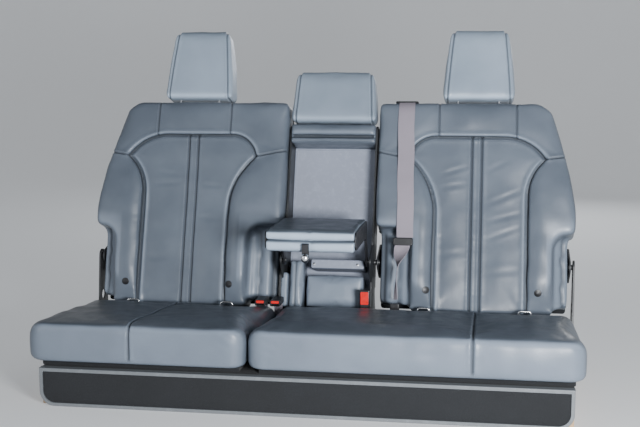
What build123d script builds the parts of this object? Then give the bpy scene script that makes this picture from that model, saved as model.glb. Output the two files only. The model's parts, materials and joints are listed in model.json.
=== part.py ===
"""Three-place rear bench seat of a long passenger car, on its carpeted riser.

The frame has X to the sitter's left, Y to the rear and Z up, in millimetres.
The origin is on the floor, on the seat's centre plane, under the line where
cushion and backrest meet. Left and right are as seen from the front. The
backrest is laid out on a leaning plane of its own: "s" runs up the backrest
from that line and "n" stands out of it, positive towards the sitter.
"""

from build123d import *

import os
from collections import namedtuple
from math import cos, radians, sin

os.makedirs("parts", exist_ok=True)

# Riser: a board box that lifts the bench off the floor
RISER_HALF_WIDTH = 673
RISER_FRONT_Y = -485
RISER_REAR_Y = 188
RISER_HEIGHT = 100
BOARD = 18
RISER_CORNER_RADIUS = 40
EDGING_WIDTH = 9
EDGING_PROUD = 4
FLOOR_HOLE_RADIUS = 5.5
FLOOR_HOLE_SIDE_SETBACK = 30
FLOOR_HOLE_FRONT_SETBACK = 65
FLOOR_HOLE_REAR_SETBACK = 68
FLOOR_BRACKET_LEG = 55
FLOOR_BRACKET_LENGTH = 60
STEEL_ANGLE = 5

# Cushions: two pieces, split off the centre plane
SEAT_HALF_WIDTH = 698
CUSHION_SPLIT_X = -130
CUSHION_GAP = 6
CUSHION_OVERHANG = 22
CUSHION_REAR_Y = -58
CUSHION_BOARD_HEIGHT = 20
CUSHION_BOARD_INSET = 22
CUSHION_FRONT_THICK = 106
CUSHION_REAR_THICK = 68
CUSHION_OUTER_CORNER = 42
CUSHION_SPLIT_CORNER = 40
CUSHION_RIM_RADIUS = 34
CUSHION_FOOT_RADIUS = 14
CUSHION_REAR_RADIUS = 7

# Backrest plane
RECLINE = 16.24
BIGHT_RISE = 65
BACK_TOP_S = 601
BACK_BOTTOM_S = -12
PAD_DEPTH = 88
BACK_PANEL = 12
BACK_PANEL_INSET = 8
BOLSTER_RISE = 35
YOKE_RISE = 12

# Widths across the backrest
COLUMN_HALF_WIDTH = 131
BACK_HALF_WIDTH = 704
BACK_GAP = 6
PLACE_SHIFT_X = 3.5
INSERT_INNER_BORDER = 168
INSERT_OUTER_BORDER = 137
INSERT_TOP_S = 495
INSERT_ARCH_SETBACK = 67
INSERT_EAR_DROP = 64
INSERT_INNER_FLARE = 75
INSERT_OUTER_FLARE = 51
INSERT_INNER_WAIST_S = 270
INSERT_OUTER_WAIST_S = 320
POCKET_FLOOR_N = -20
POCKET_FLOOR_S = 10
INNER_POCKET_WIDTH = 103
INNER_POCKET_TOP_S = 225
INNER_POCKET_RADIUS = 45
OUTER_POCKET_WIDTH = 62
OUTER_POCKET_TOP_S = 212
OUTER_POCKET_RADIUS = 36

# Folding hinges of the two outer backs
PIVOT_S = 130
PIVOT_N = -45
PIVOT_RADIUS = 8
PIVOT_CLEARANCE = 0.05
PIVOT_END = 3
HINGE_HEAD_RADIUS = 20
HINGE_PLATE = 5
HINGE_SIDE_GAP = 8
HINGE_FLANGE = 45
HINGE_FLANGE_THICK = 4
HINGE_FLANGE_LENGTH = 100
HINGE_FLANGE_DROP = 40
SIDE_BRACKET_INSET = 4
SIDE_BRACKET_SEAT = 38
SIDE_BRACKET_LENGTH = 84
SIDE_BRACKET_WINDOW_RADIUS = 15
SIDE_BRACKET_WINDOW_RISE = 78

# Armrest, lowered
ARMREST_TOP_Z = 440
ARMREST_BODY_THICK = 30
ARMREST_LID_THICK = 24.5
ARMREST_PARTING = 0.5
ARMREST_FRONT_Y = -300
ARMREST_REAR_Y = -30
ARMREST_SIDE_GAP = 5
ARMREST_PIVOT_S = 120
ARMREST_STOWED_N = -76.5
ARMREST_PIN_RADIUS = 6
ARMREST_EYE_RADIUS = 14.4
ARMREST_BOSS_RADIUS = 15.6
ARMREST_ARM = 4
ARMREST_ARM_SETBACK = 12
ARMREST_ARM_EDGE = 4
ARMREST_ARM_RADIUS = 14
ARMREST_HEEL_RADIUS = 16
ARMREST_HEEL_SETBACK = 24
ARMREST_NOSE_RADIUS = 11
ARMREST_TAIL_RADIUS = 4
LATCH_X = -10
LATCH_WIDTH = 18
LATCH_THICK = 9
LATCH_TIP_THICK = 6
LATCH_TOP_DROP = 30
LATCH_REACH = 24
LATCH_RADIUS = 2
RECESS_PANEL = 4

# Headrests
POST_RADIUS = 5
POST_HALF_SPACING = 60
POST_FROM_REAR = 43
GUIDE_RADIUS = 9
GUIDE_FLANGE_RADIUS = 14
GUIDE_FLANGE = 5
GUIDE_LENGTH = 120
GUIDE_WELL = 20
HEADREST_GAP = 15
HEADREST_HALF_WIDTH = 106
HEADREST_TAPER = 6
HEADREST_HEIGHT = 222
HEADREST_FRONT_N = -15
HEADREST_DEPTH = 95
HEADREST_TOP_LEAN = 12
HEADREST_TOP_DEPTH = 54
HEADREST_BULGE_RISE = 84
HEADREST_FOOT_SETBACK = 8
HEADREST_RIM_RADIUS = 16

# Centre column
COLUMN_TOP_S = 533
COLUMN_FOOT_FRONT = 25
COLUMN_FOOT_REAR = 45
COLUMN_FOOT_FLANGE = 30
COLUMN_FOOT_FLANGE_INSET = 10
COLUMN_KNEE_S = 40
COLUMN_PANEL_BOTTOM_S = -50
COLUMN_SHOULDER_RISE = 20
ROLL_GAP = 2
UPPER_ROLL_HEIGHT = 36
UPPER_ROLL_FRONT_N = 12
UPPER_ROLL_RADIUS = 15
LOWER_ROLL_HEIGHT = 18
LOWER_ROLL_FRONT_N = 6
LOWER_ROLL_RADIUS = 8
SIDE_PAD_WIDTH = 40
SIDE_PAD_TOP_RISE = 5
LOW_PAD_LEFT_X = -62
LOW_PAD_RIGHT_X = 104
LOW_PAD_BOTTOM_S = -8
LOW_PAD_TOP_S = 82
LOW_PAD_FRONT_N = -5
COLUMN_PAD_RADIUS = 10
COVER_LEFT_X = -47
COVER_RIGHT_X = 107
COVER_HEIGHT = 26
COVER_TOP_RISE = 8
COVER_FRONT_N = 18
COVER_CORNER_RADIUS = 5
COVER_RIM_RADIUS = 4
CENTRE_HEADREST_GAP = 7
CENTRE_HEADREST_HALF_WIDTH = 128
CENTRE_HEADREST_TAPER = 4
CENTRE_HEADREST_HEIGHT = 160
CENTRE_HEADREST_FRONT_N = 15
CENTRE_HEADREST_DEPTH = 90

# Belts, buckles and child-seat anchors
WEBBING_WIDTH = 47
WEBBING_THICK = 1.5
BELT_X = 216
BELT_SLOT_N = -14
BELT_SLOT_CLEARANCE = 1.5
BEZEL_BORDER = 10
BEZEL_DEPTH = 24
BEZEL_HEIGHT = 5
BEZEL_CORNER_RADIUS = 6
BEZEL_RIM_RADIUS = 2
TONGUE_S = 182
TONGUE_SHIFT_X = 3
TONGUE_BORDER = 5
TONGUE_HEIGHT = 22
TONGUE_THICK = 8
TONGUE_CORNER_RADIUS = 6
TONGUE_RIM_RADIUS = 2.5
TAIL_SETBACK_X = 4
TAIL_HIGH_DEPTH = 30
TAIL_LOW_S = 24
TAIL_LOW_N = -4
TAIL_LOW_DEPTH = 28
BUCKLE_WIDTH = 30
BUCKLE_THICK = 18
BUCKLE_LENGTH = 56
BUCKLE_CORNER_RADIUS = 4
BUCKLE_SLOT_WIDTH = 22
BUCKLE_SLOT_THICK = 5
BUCKLE_SLOT_DEPTH = 16
BUCKLE_SLOT_WALL = 2
BUTTON_HEIGHT = 7
BUTTON_PROUD = 2.5
BUTTON_FROM_FACE = 5.5
UPRIGHT_BUTTON_HEIGHT = 36
UPRIGHT_BUTTON_DROP = 22
LYING_BUCKLE_RISE = 6
LYING_BUCKLE_SETBACK = 40
LYING_BUCKLE_OUTER_X = 38
LYING_BUCKLE_INNER_X = 5
UPRIGHT_BUCKLE_INSET = 14
UPRIGHT_BUCKLE_RISE = 53
BIGHT_MIDDLE = 15
STALK_WIDTH = 24
STALK_THICK = 3
STALK_OVERLAP = 5
BELT_ANCHOR_SHIFT_X = 14
BELT_ANCHOR_WIDTH = 26
BELT_ANCHOR_THICK = 14
BELT_ANCHOR_LENGTH = 36
BELT_ANCHOR_RISE = 16
BELT_ANCHOR_RADIUS = 3
BELT_ANCHOR_STRAP_WIDTH = 18
ANCHOR_HALF_SPACING = 140
ANCHOR_WIRE_RADIUS = 3
ANCHOR_WIRE_BEND = 7.5
ANCHOR_LOOP_HALF_WIDTH = 17
ANCHOR_SETBACK = 8
ANCHOR_RISE = 7
ANCHOR_BAR_THICK = 6
ANCHOR_BAR_WIDTH = 24
ANCHOR_BAR_SHIFT_Y = 5
ANCHOR_BAR_RADIUS = 4

# Values that follow from the sizes above
TOUCH = 0.3
LEAN_SIN = sin(radians(RECLINE))
LEAN_COS = cos(radians(RECLINE))
CUSHION_FRONT_Y = RISER_FRONT_Y - CUSHION_OVERHANG
CUSHION_BOTTOM_Z = RISER_HEIGHT + CUSHION_BOARD_HEIGHT
CUSHION_REAR_TOP_Z = CUSHION_BOTTOM_Z + CUSHION_REAR_THICK
BIGHT_Z = CUSHION_BOTTOM_Z + BIGHT_RISE
BACK_INNER_X = COLUMN_HALF_WIDTH + BACK_GAP
PLACE_X = (BACK_INNER_X + BACK_HALF_WIDTH) / 2 + PLACE_SHIFT_X
INSERT_INNER_X = BACK_INNER_X + INSERT_INNER_BORDER
INSERT_OUTER_X = BACK_HALF_WIDTH - INSERT_OUTER_BORDER
INSERT_ARCH_OUTER_X = INSERT_OUTER_X - INSERT_ARCH_SETBACK
INNER_POCKET_X = BACK_INNER_X + INNER_POCKET_WIDTH
OUTER_POCKET_X = BACK_HALF_WIDTH - OUTER_POCKET_WIDTH
CENTRE_PLATE_X = COLUMN_HALF_WIDTH - HINGE_PLATE
COLUMN_INNER_HALF = CENTRE_PLATE_X - TOUCH
INNER_HINGE_X = COLUMN_HALF_WIDTH + HINGE_SIDE_GAP
OUTER_BRACKET_X = BACK_HALF_WIDTH - SIDE_BRACKET_INSET
OUTER_HINGE_X = OUTER_BRACKET_X - BACK_GAP - HINGE_PLATE
ARMREST_HALF_WIDTH = CENTRE_PLATE_X - ARMREST_SIDE_GAP
ARMREST_PAD_HALF_WIDTH = ARMREST_HALF_WIDTH - ARMREST_ARM
ARMREST_THICK = ARMREST_BODY_THICK + ARMREST_LID_THICK
ARMREST_BOTTOM_Z = ARMREST_TOP_Z - ARMREST_THICK
ARMREST_PIVOT_N = (
    ARMREST_TOP_Z - BIGHT_Z - ARMREST_PIVOT_S * LEAN_COS + ARMREST_STOWED_N
) / (1 + LEAN_SIN)
POST_N = POST_FROM_REAR - PAD_DEPTH
RECESS_FLOOR_N = RECESS_PANEL - PAD_DEPTH
RECESS_TOP_S = COLUMN_TOP_S - UPPER_ROLL_HEIGHT - ROLL_GAP - LOWER_ROLL_HEIGHT

BACK = Plane(
    origin=(0, 0, BIGHT_Z), x_dir=(1, 0, 0), z_dir=(0, -LEAN_COS, LEAN_SIN)
)
FORWARD = Axis((0, 0, BIGHT_Z), (0, -LEAN_COS, LEAN_SIN))
UPWARD = Axis((0, 0, BIGHT_Z), (0, LEAN_SIN, LEAN_COS))


def side_point(s, n):
    """(Y, Z) of a point s up the backrest and n in front of its plane."""
    return (s * LEAN_SIN - n * LEAN_COS, BIGHT_Z + s * LEAN_COS + n * LEAN_SIN)


def across_back(s):
    """Plane square to the backrest at height s; its local y points to the rear."""
    y, z = side_point(s, 0)
    return Plane(origin=(0, y, z), x_dir=(1, 0, 0), z_dir=(0, LEAN_SIN, LEAN_COS))


def rounded_face(corners):
    """Face from (x, y, corner radius) rows, on the sketch that is open."""
    points = [(x, y) for x, y, radius in corners]
    radii = [radius for x, y, radius in corners]
    with BuildLine() as outline:
        FilletPolyline(*points, radius=radii, close=True)
    make_face(outline.edges())


def rounded_side_face(corners):
    """Face from (s, n, corner radius) rows, on a sketch square to X."""
    rounded_face([(*side_point(s, n), radius) for s, n, radius in corners])


def post_places(centre_x):
    """Where a headrest's two posts cross a plane that lies across the back."""
    return [(centre_x + side * POST_HALF_SPACING, -POST_N) for side in (-1, 1)]


def save(piece, node):
    """Label a finished piece and write its STEP file."""
    piece.part.label = node
    export_step(piece.part, f"parts/{node}.step")


pivot = side_point(PIVOT_S, PIVOT_N)
armrest_pivot = side_point(ARMREST_PIVOT_S, ARMREST_PIVOT_N)
print("back pivot Y, Z:", [round(v, 4) for v in pivot])
print("armrest pivot Y, Z:", [round(v, 4) for v in armrest_pivot])

# Riser

kick_corners = [
    (-RISER_HALF_WIDTH, RISER_HEIGHT, 0),
    (-RISER_HALF_WIDTH, 0, RISER_CORNER_RADIUS),
    (RISER_HALF_WIDTH, 0, RISER_CORNER_RADIUS),
    (RISER_HALF_WIDTH, RISER_HEIGHT, 0),
]
box_front_y = RISER_FRONT_Y + BOARD
kick_plane = Plane.XZ.offset(-box_front_y)

with BuildPart() as riser_kick_panel:
    with BuildSketch(kick_plane):
        rounded_face(kick_corners)
        offset(amount=-EDGING_WIDTH, mode=Mode.REPLACE)
    extrude(amount=BOARD)
save(riser_kick_panel, "riser_kick_panel")

with BuildPart() as riser_edging:
    with BuildSketch(kick_plane):
        rounded_face(kick_corners)
        with BuildSketch(mode=Mode.SUBTRACT):
            rounded_face(kick_corners)
            offset(amount=-EDGING_WIDTH, mode=Mode.REPLACE)
    extrude(amount=BOARD + EDGING_PROUD)
    front_rim = riser_edging.faces().sort_by(Axis.Y)[0].outer_wire().edges()
    fillet(front_rim, radius=EDGING_PROUD / 2)
save(riser_edging, "riser_edging")

wall_height = RISER_HEIGHT - BOARD
wall_face_x = RISER_HALF_WIDTH - BOARD

with BuildPart() as riser_boards:
    wall_length = RISER_REAR_Y - BOARD - box_front_y
    wall_middle_y = (RISER_REAR_Y - BOARD + box_front_y) / 2
    wall_x = RISER_HALF_WIDTH - BOARD / 2
    with BuildSketch():
        with Locations((-wall_x, wall_middle_y), (0, wall_middle_y), (wall_x, wall_middle_y)):
            Rectangle(BOARD, wall_length)
    extrude(amount=wall_height)
save(riser_boards, "riser_boards")

with BuildPart() as riser_rear_rail:
    with BuildSketch(Plane.XZ.offset(-RISER_REAR_Y)):
        with Locations((0, wall_height / 2)):
            Rectangle(2 * RISER_HALF_WIDTH, wall_height)
    extrude(amount=BOARD)
save(riser_rear_rail, "riser_rear_rail")

with BuildPart() as riser_deck:
    with BuildSketch(Plane.XY.offset(wall_height)):
        with Locations((0, (box_front_y + RISER_REAR_Y) / 2)):
            Rectangle(2 * RISER_HALF_WIDTH, RISER_REAR_Y - box_front_y)
    extrude(amount=BOARD)
save(riser_deck, "riser_deck")

with BuildPart() as floor_brackets:
    foot_x = wall_face_x - FLOOR_BRACKET_LEG
    bracket_top_z = wall_height - BOARD
    for hole_y in (
        RISER_FRONT_Y + FLOOR_HOLE_FRONT_SETBACK,
        RISER_REAR_Y - FLOOR_HOLE_REAR_SETBACK,
    ):
        with BuildSketch(Plane.XZ.offset(-hole_y - FLOOR_BRACKET_LENGTH / 2)):
            with BuildLine():
                Polyline(
                    (foot_x, 0),
                    (wall_face_x, 0),
                    (wall_face_x, bracket_top_z),
                    (wall_face_x - STEEL_ANGLE, bracket_top_z),
                    (wall_face_x - STEEL_ANGLE, STEEL_ANGLE),
                    (foot_x, STEEL_ANGLE),
                    close=True,
                )
            make_face()
        extrude(amount=FLOOR_BRACKET_LENGTH)
        with Locations((wall_face_x - FLOOR_HOLE_SIDE_SETBACK, hole_y, STEEL_ANGLE)):
            Hole(radius=FLOOR_HOLE_RADIUS, depth=STEEL_ANGLE)
    mirror(about=Plane.YZ)
save(floor_brackets, "floor_brackets")

# Cushions, each on its board: round front corners, a top that falls to the rear
# and a soft rim

left_split_x = CUSHION_SPLIT_X - CUSHION_GAP / 2
right_split_x = CUSHION_SPLIT_X + CUSHION_GAP / 2
Cushion = namedtuple("Cushion", "low_x high_x low_corner high_corner")
cushions = {
    "left": Cushion(-SEAT_HALF_WIDTH, left_split_x, CUSHION_OUTER_CORNER, CUSHION_SPLIT_CORNER),
    "right": Cushion(right_split_x, SEAT_HALF_WIDTH, CUSHION_SPLIT_CORNER, CUSHION_OUTER_CORNER),
}

with BuildPart() as cushion_boards:
    board_front_y = box_front_y + CUSHION_BOARD_INSET / 2
    board_rear_y = CUSHION_REAR_Y - CUSHION_BOARD_INSET / 2
    with BuildSketch(Plane.XY.offset(RISER_HEIGHT)):
        for row in cushions.values():
            board_x = (row.low_x + row.high_x) / 2
            board_width = row.high_x - row.low_x - 2 * CUSHION_BOARD_INSET
            with Locations((board_x, (board_front_y + board_rear_y) / 2)):
                Rectangle(board_width, board_rear_y - board_front_y)
    extrude(amount=CUSHION_BOARD_HEIGHT)
save(cushion_boards, "cushion_boards")

for name, row in cushions.items():
    with BuildPart() as cushion:
        with BuildSketch(Plane.XY.offset(CUSHION_BOTTOM_Z)):
            rounded_face(
                [
                    (row.low_x, CUSHION_FRONT_Y, row.low_corner),
                    (row.high_x, CUSHION_FRONT_Y, row.high_corner),
                    (row.high_x, CUSHION_REAR_Y, 0),
                    (row.low_x, CUSHION_REAR_Y, 0),
                ]
            )
        extrude(amount=CUSHION_FRONT_THICK)
        with BuildSketch(Plane.YZ.offset(row.low_x)):
            with BuildLine():
                Polyline(
                    (CUSHION_FRONT_Y, CUSHION_BOTTOM_Z),
                    (CUSHION_REAR_Y, CUSHION_BOTTOM_Z),
                    (CUSHION_REAR_Y, CUSHION_REAR_TOP_Z),
                    (CUSHION_FRONT_Y, CUSHION_BOTTOM_Z + CUSHION_FRONT_THICK),
                    close=True,
                )
            make_face()
        extrude(amount=row.high_x - row.low_x, mode=Mode.INTERSECT)
        top_rim = cushion.faces().sort_by(Axis.Z)[-1].edges().sort_by(Axis.Y)
        fillet(top_rim[:-1], radius=CUSHION_RIM_RADIUS)
        foot_rim = cushion.faces().sort_by(Axis.Z)[0].edges().sort_by(Axis.Y)
        fillet(foot_rim[:-1], radius=CUSHION_FOOT_RADIUS)
        rear_rim = cushion.faces().sort_by(Axis.Y)[-1].edges()
        fillet(rear_rim, radius=CUSHION_REAR_RADIUS)
    save(cushion, f"cushion_{name}")

# Steel side plates of the centre column: they stand on the deck, carry the
# inner pivots of both outer backs on their outsides and the armrest's pins inside

plate_foot_front_y = side_point(0, 0)[0] - COLUMN_FOOT_FRONT
plate_foot_rear_y = side_point(0, -PAD_DEPTH)[0] + COLUMN_FOOT_REAR
PLATE_EDGE = [
    # s, n, corner radius, up the rear edge and down the front one
    (COLUMN_KNEE_S, -PAD_DEPTH, 40),
    (COLUMN_TOP_S, -PAD_DEPTH, 6),
    (COLUMN_TOP_S, -12, 12),
    (ARMREST_PIVOT_S + 120, -4, 60),
    (ARMREST_PIVOT_S + 60, 10, 20),
    (ARMREST_PIVOT_S - 70, 10, 30),
]
PLATE_NOSE = [
    # s, n, radius of the rounds that the nose round the armrest's pivot wraps
    (ARMREST_PIVOT_S, ARMREST_PIVOT_N, ARMREST_BOSS_RADIUS),
    (ARMREST_PIVOT_S + 45, -10, 20),
    (ARMREST_PIVOT_S - 45, -10, 20),
]

with BuildPart() as centre_plate_right:
    with BuildSketch(Plane.YZ.offset(CENTRE_PLATE_X)):
        rounded_face(
            [(plate_foot_front_y, RISER_HEIGHT, 0), (plate_foot_rear_y, RISER_HEIGHT, 0)]
            + [(*side_point(s, n), radius) for s, n, radius in PLATE_EDGE]
        )
        with BuildSketch(mode=Mode.ADD):
            for s, n, radius in PLATE_NOSE:
                with Locations(side_point(s, n)):
                    Circle(radius)
            make_hull()
    extrude(amount=HINGE_PLATE)
    with BuildSketch(Plane.YZ.offset(COLUMN_HALF_WIDTH)):
        with Locations(pivot):
            Circle(PIVOT_RADIUS)
    extrude(amount=HINGE_SIDE_GAP + HINGE_PLATE + PIVOT_END)
    with BuildSketch(Plane.YZ.offset(CENTRE_PLATE_X)):
        with Locations(armrest_pivot):
            Circle(ARMREST_PIN_RADIUS)
    extrude(amount=-(ARMREST_SIDE_GAP + ARMREST_ARM + PIVOT_END))
    with BuildSketch(Plane.XY.offset(RISER_HEIGHT)):
        with Locations((CENTRE_PLATE_X, (plate_foot_front_y + plate_foot_rear_y) / 2)):
            Rectangle(
                COLUMN_FOOT_FLANGE,
                plate_foot_rear_y - plate_foot_front_y - 2 * COLUMN_FOOT_FLANGE_INSET,
                align=(Align.MAX, Align.CENTER),
            )
    extrude(amount=HINGE_PLATE)
save(centre_plate_right, "centre_plate_right")

with BuildPart() as centre_plate_left:
    mirror(centre_plate_right.part, about=Plane.YZ)
save(centre_plate_left, "centre_plate_left")

# Outer hinge brackets: a tapered cheek with a window, bent off a foot on the deck

with BuildPart() as side_brackets:
    foot_outer_x = OUTER_BRACKET_X + HINGE_PLATE
    foot_inner_x = min(OUTER_BRACKET_X, RISER_HALF_WIDTH) - SIDE_BRACKET_SEAT
    with BuildSketch(Plane.YZ.offset(OUTER_BRACKET_X)):
        with BuildSketch(mode=Mode.ADD):
            with Locations(pivot):
                Circle(HINGE_HEAD_RADIUS)
            with Locations((pivot[0], RISER_HEIGHT + HINGE_PLATE / 2)):
                Rectangle(SIDE_BRACKET_LENGTH, HINGE_PLATE)
            make_hull()
        with Locations((pivot[0], RISER_HEIGHT + SIDE_BRACKET_WINDOW_RISE)):
            Circle(SIDE_BRACKET_WINDOW_RADIUS, mode=Mode.SUBTRACT)
    extrude(amount=HINGE_PLATE)
    with BuildSketch(Plane.XY.offset(RISER_HEIGHT)):
        with Locations((foot_outer_x, pivot[0])):
            Rectangle(
                foot_outer_x - foot_inner_x,
                SIDE_BRACKET_LENGTH,
                align=(Align.MAX, Align.CENTER),
            )
    extrude(amount=HINGE_PLATE)
    with BuildSketch(Plane.YZ.offset(OUTER_BRACKET_X)):
        with Locations(pivot):
            Circle(PIVOT_RADIUS)
    extrude(amount=-(BACK_GAP + HINGE_PLATE + PIVOT_END))
    mirror(about=Plane.YZ)
save(side_brackets, "side_brackets")

# Centre column: rear panel, recess floor, rolls, lower pads, hinge cover

with BuildPart() as centre_back_panel:
    shoulder_s = COLUMN_KNEE_S + COLUMN_SHOULDER_RISE
    right_edge = [
        # x, s, corner radius, from the bottom up
        (COLUMN_INNER_HALF, COLUMN_PANEL_BOTTOM_S, 6),
        (COLUMN_INNER_HALF, shoulder_s, 2),
        (COLUMN_HALF_WIDTH, shoulder_s, 2),
        (COLUMN_HALF_WIDTH, COLUMN_TOP_S, 8),
    ]
    left_edge = [(-x, s, radius) for x, s, radius in reversed(right_edge)]
    with BuildSketch(BACK.offset(-PAD_DEPTH - BACK_PANEL)):
        rounded_face(right_edge + left_edge)
    extrude(amount=BACK_PANEL)
save(centre_back_panel, "centre_back_panel")

with BuildPart() as centre_recess_panel:
    with BuildSketch(BACK.offset(-PAD_DEPTH)):
        with Locations((0, (BACK_BOTTOM_S + RECESS_TOP_S) / 2)):
            Rectangle(2 * COLUMN_INNER_HALF, RECESS_TOP_S - BACK_BOTTOM_S)
    extrude(amount=RECESS_PANEL)
save(centre_recess_panel, "centre_recess_panel")

ROLLS = [
    # bottom s, height, front n, edge radius
    (
        COLUMN_TOP_S - UPPER_ROLL_HEIGHT,
        UPPER_ROLL_HEIGHT,
        UPPER_ROLL_FRONT_N,
        UPPER_ROLL_RADIUS,
    ),
    (RECESS_TOP_S, LOWER_ROLL_HEIGHT, LOWER_ROLL_FRONT_N, LOWER_ROLL_RADIUS),
]

with BuildPart() as centre_rolls:
    for bottom_s, height, front_n, edge_radius in ROLLS:
        with BuildSketch(BACK.offset(RECESS_FLOOR_N)):
            with Locations((0, bottom_s + height / 2)):
                Rectangle(2 * COLUMN_INNER_HALF, height)
        extrude(amount=front_n - RECESS_FLOOR_N)
        front = centre_rolls.faces(Select.LAST).sort_by(FORWARD)[-1]
        fillet(front.edges(), radius=edge_radius)
    with BuildSketch(across_back(RECESS_TOP_S - TOUCH)):
        with Locations(*post_places(0)):
            Circle(GUIDE_RADIUS + TOUCH)
    extrude(amount=COLUMN_TOP_S - RECESS_TOP_S + 2 * TOUCH, mode=Mode.SUBTRACT)
save(centre_rolls, "centre_rolls")

side_pad_x = -(ARMREST_PAD_HALF_WIDTH - ARMREST_SIDE_GAP)
COLUMN_PADS = [
    # low x, high x, bottom s, top s, front n
    (
        side_pad_x,
        side_pad_x + SIDE_PAD_WIDTH,
        BACK_BOTTOM_S,
        ARMREST_PIVOT_S + SIDE_PAD_TOP_RISE,
        0,
    ),
    (LOW_PAD_LEFT_X, LOW_PAD_RIGHT_X, LOW_PAD_BOTTOM_S, LOW_PAD_TOP_S, LOW_PAD_FRONT_N),
]

with BuildPart() as centre_lower_pads:
    for low_x, high_x, bottom_s, top_s, front_n in COLUMN_PADS:
        with BuildSketch(BACK.offset(RECESS_FLOOR_N)):
            with Locations(((low_x + high_x) / 2, (bottom_s + top_s) / 2)):
                Rectangle(high_x - low_x, top_s - bottom_s)
        extrude(amount=front_n - RECESS_FLOOR_N)
        front = centre_lower_pads.faces(Select.LAST).sort_by(FORWARD)[-1]
        fillet(front.edges(), radius=COLUMN_PAD_RADIUS)
save(centre_lower_pads, "centre_lower_pads")

with BuildPart() as armrest_hinge_cover:
    cover_x = (COVER_LEFT_X + COVER_RIGHT_X) / 2
    cover_s = ARMREST_PIVOT_S + COVER_TOP_RISE - COVER_HEIGHT / 2
    with BuildSketch(BACK.offset(RECESS_FLOOR_N)):
        with Locations((cover_x, cover_s)):
            RectangleRounded(COVER_RIGHT_X - COVER_LEFT_X, COVER_HEIGHT, COVER_CORNER_RADIUS)
    extrude(amount=COVER_FRONT_N - RECESS_FLOOR_N)
    front = armrest_hinge_cover.faces().sort_by(FORWARD)[-1]
    fillet(front.edges(), radius=COVER_RIM_RADIUS)
save(armrest_hinge_cover, "armrest_hinge_cover")

# Child-seat anchors: round wire loops standing on a flat bar behind the cushions

anchor_y = CUSHION_REAR_Y + ANCHOR_SETBACK
anchor_top_z = CUSHION_REAR_TOP_Z + ANCHOR_RISE - ANCHOR_WIRE_RADIUS
anchor_foot_z = RISER_HEIGHT + ANCHOR_BAR_THICK
anchor_centres = [
    place + side * ANCHOR_HALF_SPACING
    for place in (-PLACE_X, PLACE_X)
    for side in (-1, 1)
]

with BuildPart() as anchor_bar:
    with BuildSketch(Plane.XY.offset(RISER_HEIGHT)):
        with Locations((0, anchor_y + ANCHOR_BAR_SHIFT_Y)):
            RectangleRounded(2 * wall_face_x, ANCHOR_BAR_WIDTH, ANCHOR_BAR_RADIUS)
    extrude(amount=ANCHOR_BAR_THICK)
save(anchor_bar, "anchor_bar")

with BuildPart() as anchor_wires:
    for centre_x in anchor_centres:
        low_x = centre_x - ANCHOR_LOOP_HALF_WIDTH
        high_x = centre_x + ANCHOR_LOOP_HALF_WIDTH
        with BuildLine(Plane.XZ.offset(-anchor_y)) as loop:
            FilletPolyline(
                (low_x, anchor_foot_z),
                (low_x, anchor_top_z),
                (high_x, anchor_top_z),
                (high_x, anchor_foot_z),
                radius=ANCHOR_WIRE_BEND,
            )
        with BuildSketch(Plane((low_x, anchor_y, anchor_foot_z))):
            Circle(ANCHOR_WIRE_RADIUS)
        sweep(path=loop.line)
save(anchor_wires, "anchor_wires")

# Belt buckles: two lie on the cushion's rear edge, one stands at the bight

lying_z = CUSHION_REAR_TOP_Z + LYING_BUCKLE_RISE
lying_front_y = CUSHION_REAR_Y - LYING_BUCKLE_SETBACK
lying_x = (-BACK_INNER_X - LYING_BUCKLE_OUTER_X, -BACK_INNER_X + LYING_BUCKLE_INNER_X)
upright_x = COLUMN_HALF_WIDTH - UPRIGHT_BUCKLE_INSET
upright_y = CUSHION_REAR_Y + BIGHT_MIDDLE
upright_top_z = BIGHT_Z + UPRIGHT_BUCKLE_RISE
slot_offset = BUCKLE_SLOT_WALL + BUCKLE_SLOT_THICK / 2

with BuildPart() as buckle_bodies:
    for x in lying_x:
        with BuildSketch(Plane.XZ.offset(-lying_front_y)):
            with Locations((x, lying_z + BUCKLE_THICK / 2)):
                RectangleRounded(BUCKLE_WIDTH, BUCKLE_THICK, BUCKLE_CORNER_RADIUS)
        extrude(amount=-BUCKLE_LENGTH)
        with BuildSketch(Plane.XZ.offset(-lying_front_y)):
            with Locations((x, lying_z + slot_offset)):
                Rectangle(BUCKLE_SLOT_WIDTH, BUCKLE_SLOT_THICK)
        extrude(amount=-BUCKLE_SLOT_DEPTH, mode=Mode.SUBTRACT)
    with BuildSketch(Plane.XY.offset(upright_top_z)):
        with Locations((upright_x, upright_y)):
            RectangleRounded(BUCKLE_WIDTH, BUCKLE_THICK, BUCKLE_CORNER_RADIUS)
    extrude(amount=-BUCKLE_LENGTH)
    with BuildSketch(Plane.XY.offset(upright_top_z)):
        with Locations((upright_x, upright_y + BUCKLE_THICK / 2 - slot_offset)):
            Rectangle(BUCKLE_SLOT_WIDTH, BUCKLE_SLOT_THICK)
    extrude(amount=-BUCKLE_SLOT_DEPTH, mode=Mode.SUBTRACT)
save(buckle_bodies, "buckle_bodies")

with BuildPart() as buckle_buttons:
    for x in lying_x:
        with BuildSketch(Plane.XZ.offset(-lying_front_y)):
            with Locations((x, lying_z + BUCKLE_THICK - BUTTON_FROM_FACE)):
                RectangleRounded(BUCKLE_SLOT_WIDTH, BUTTON_HEIGHT, BUTTON_PROUD)
        extrude(amount=BUTTON_PROUD)
    with BuildSketch(Plane.XZ.offset(-upright_y + BUCKLE_THICK / 2)):
        with Locations((upright_x, upright_top_z - UPRIGHT_BUTTON_DROP)):
            RectangleRounded(BUCKLE_SLOT_WIDTH, UPRIGHT_BUTTON_HEIGHT, BUTTON_PROUD)
    extrude(amount=BUTTON_PROUD)
save(buckle_buttons, "buckle_buttons")

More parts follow.
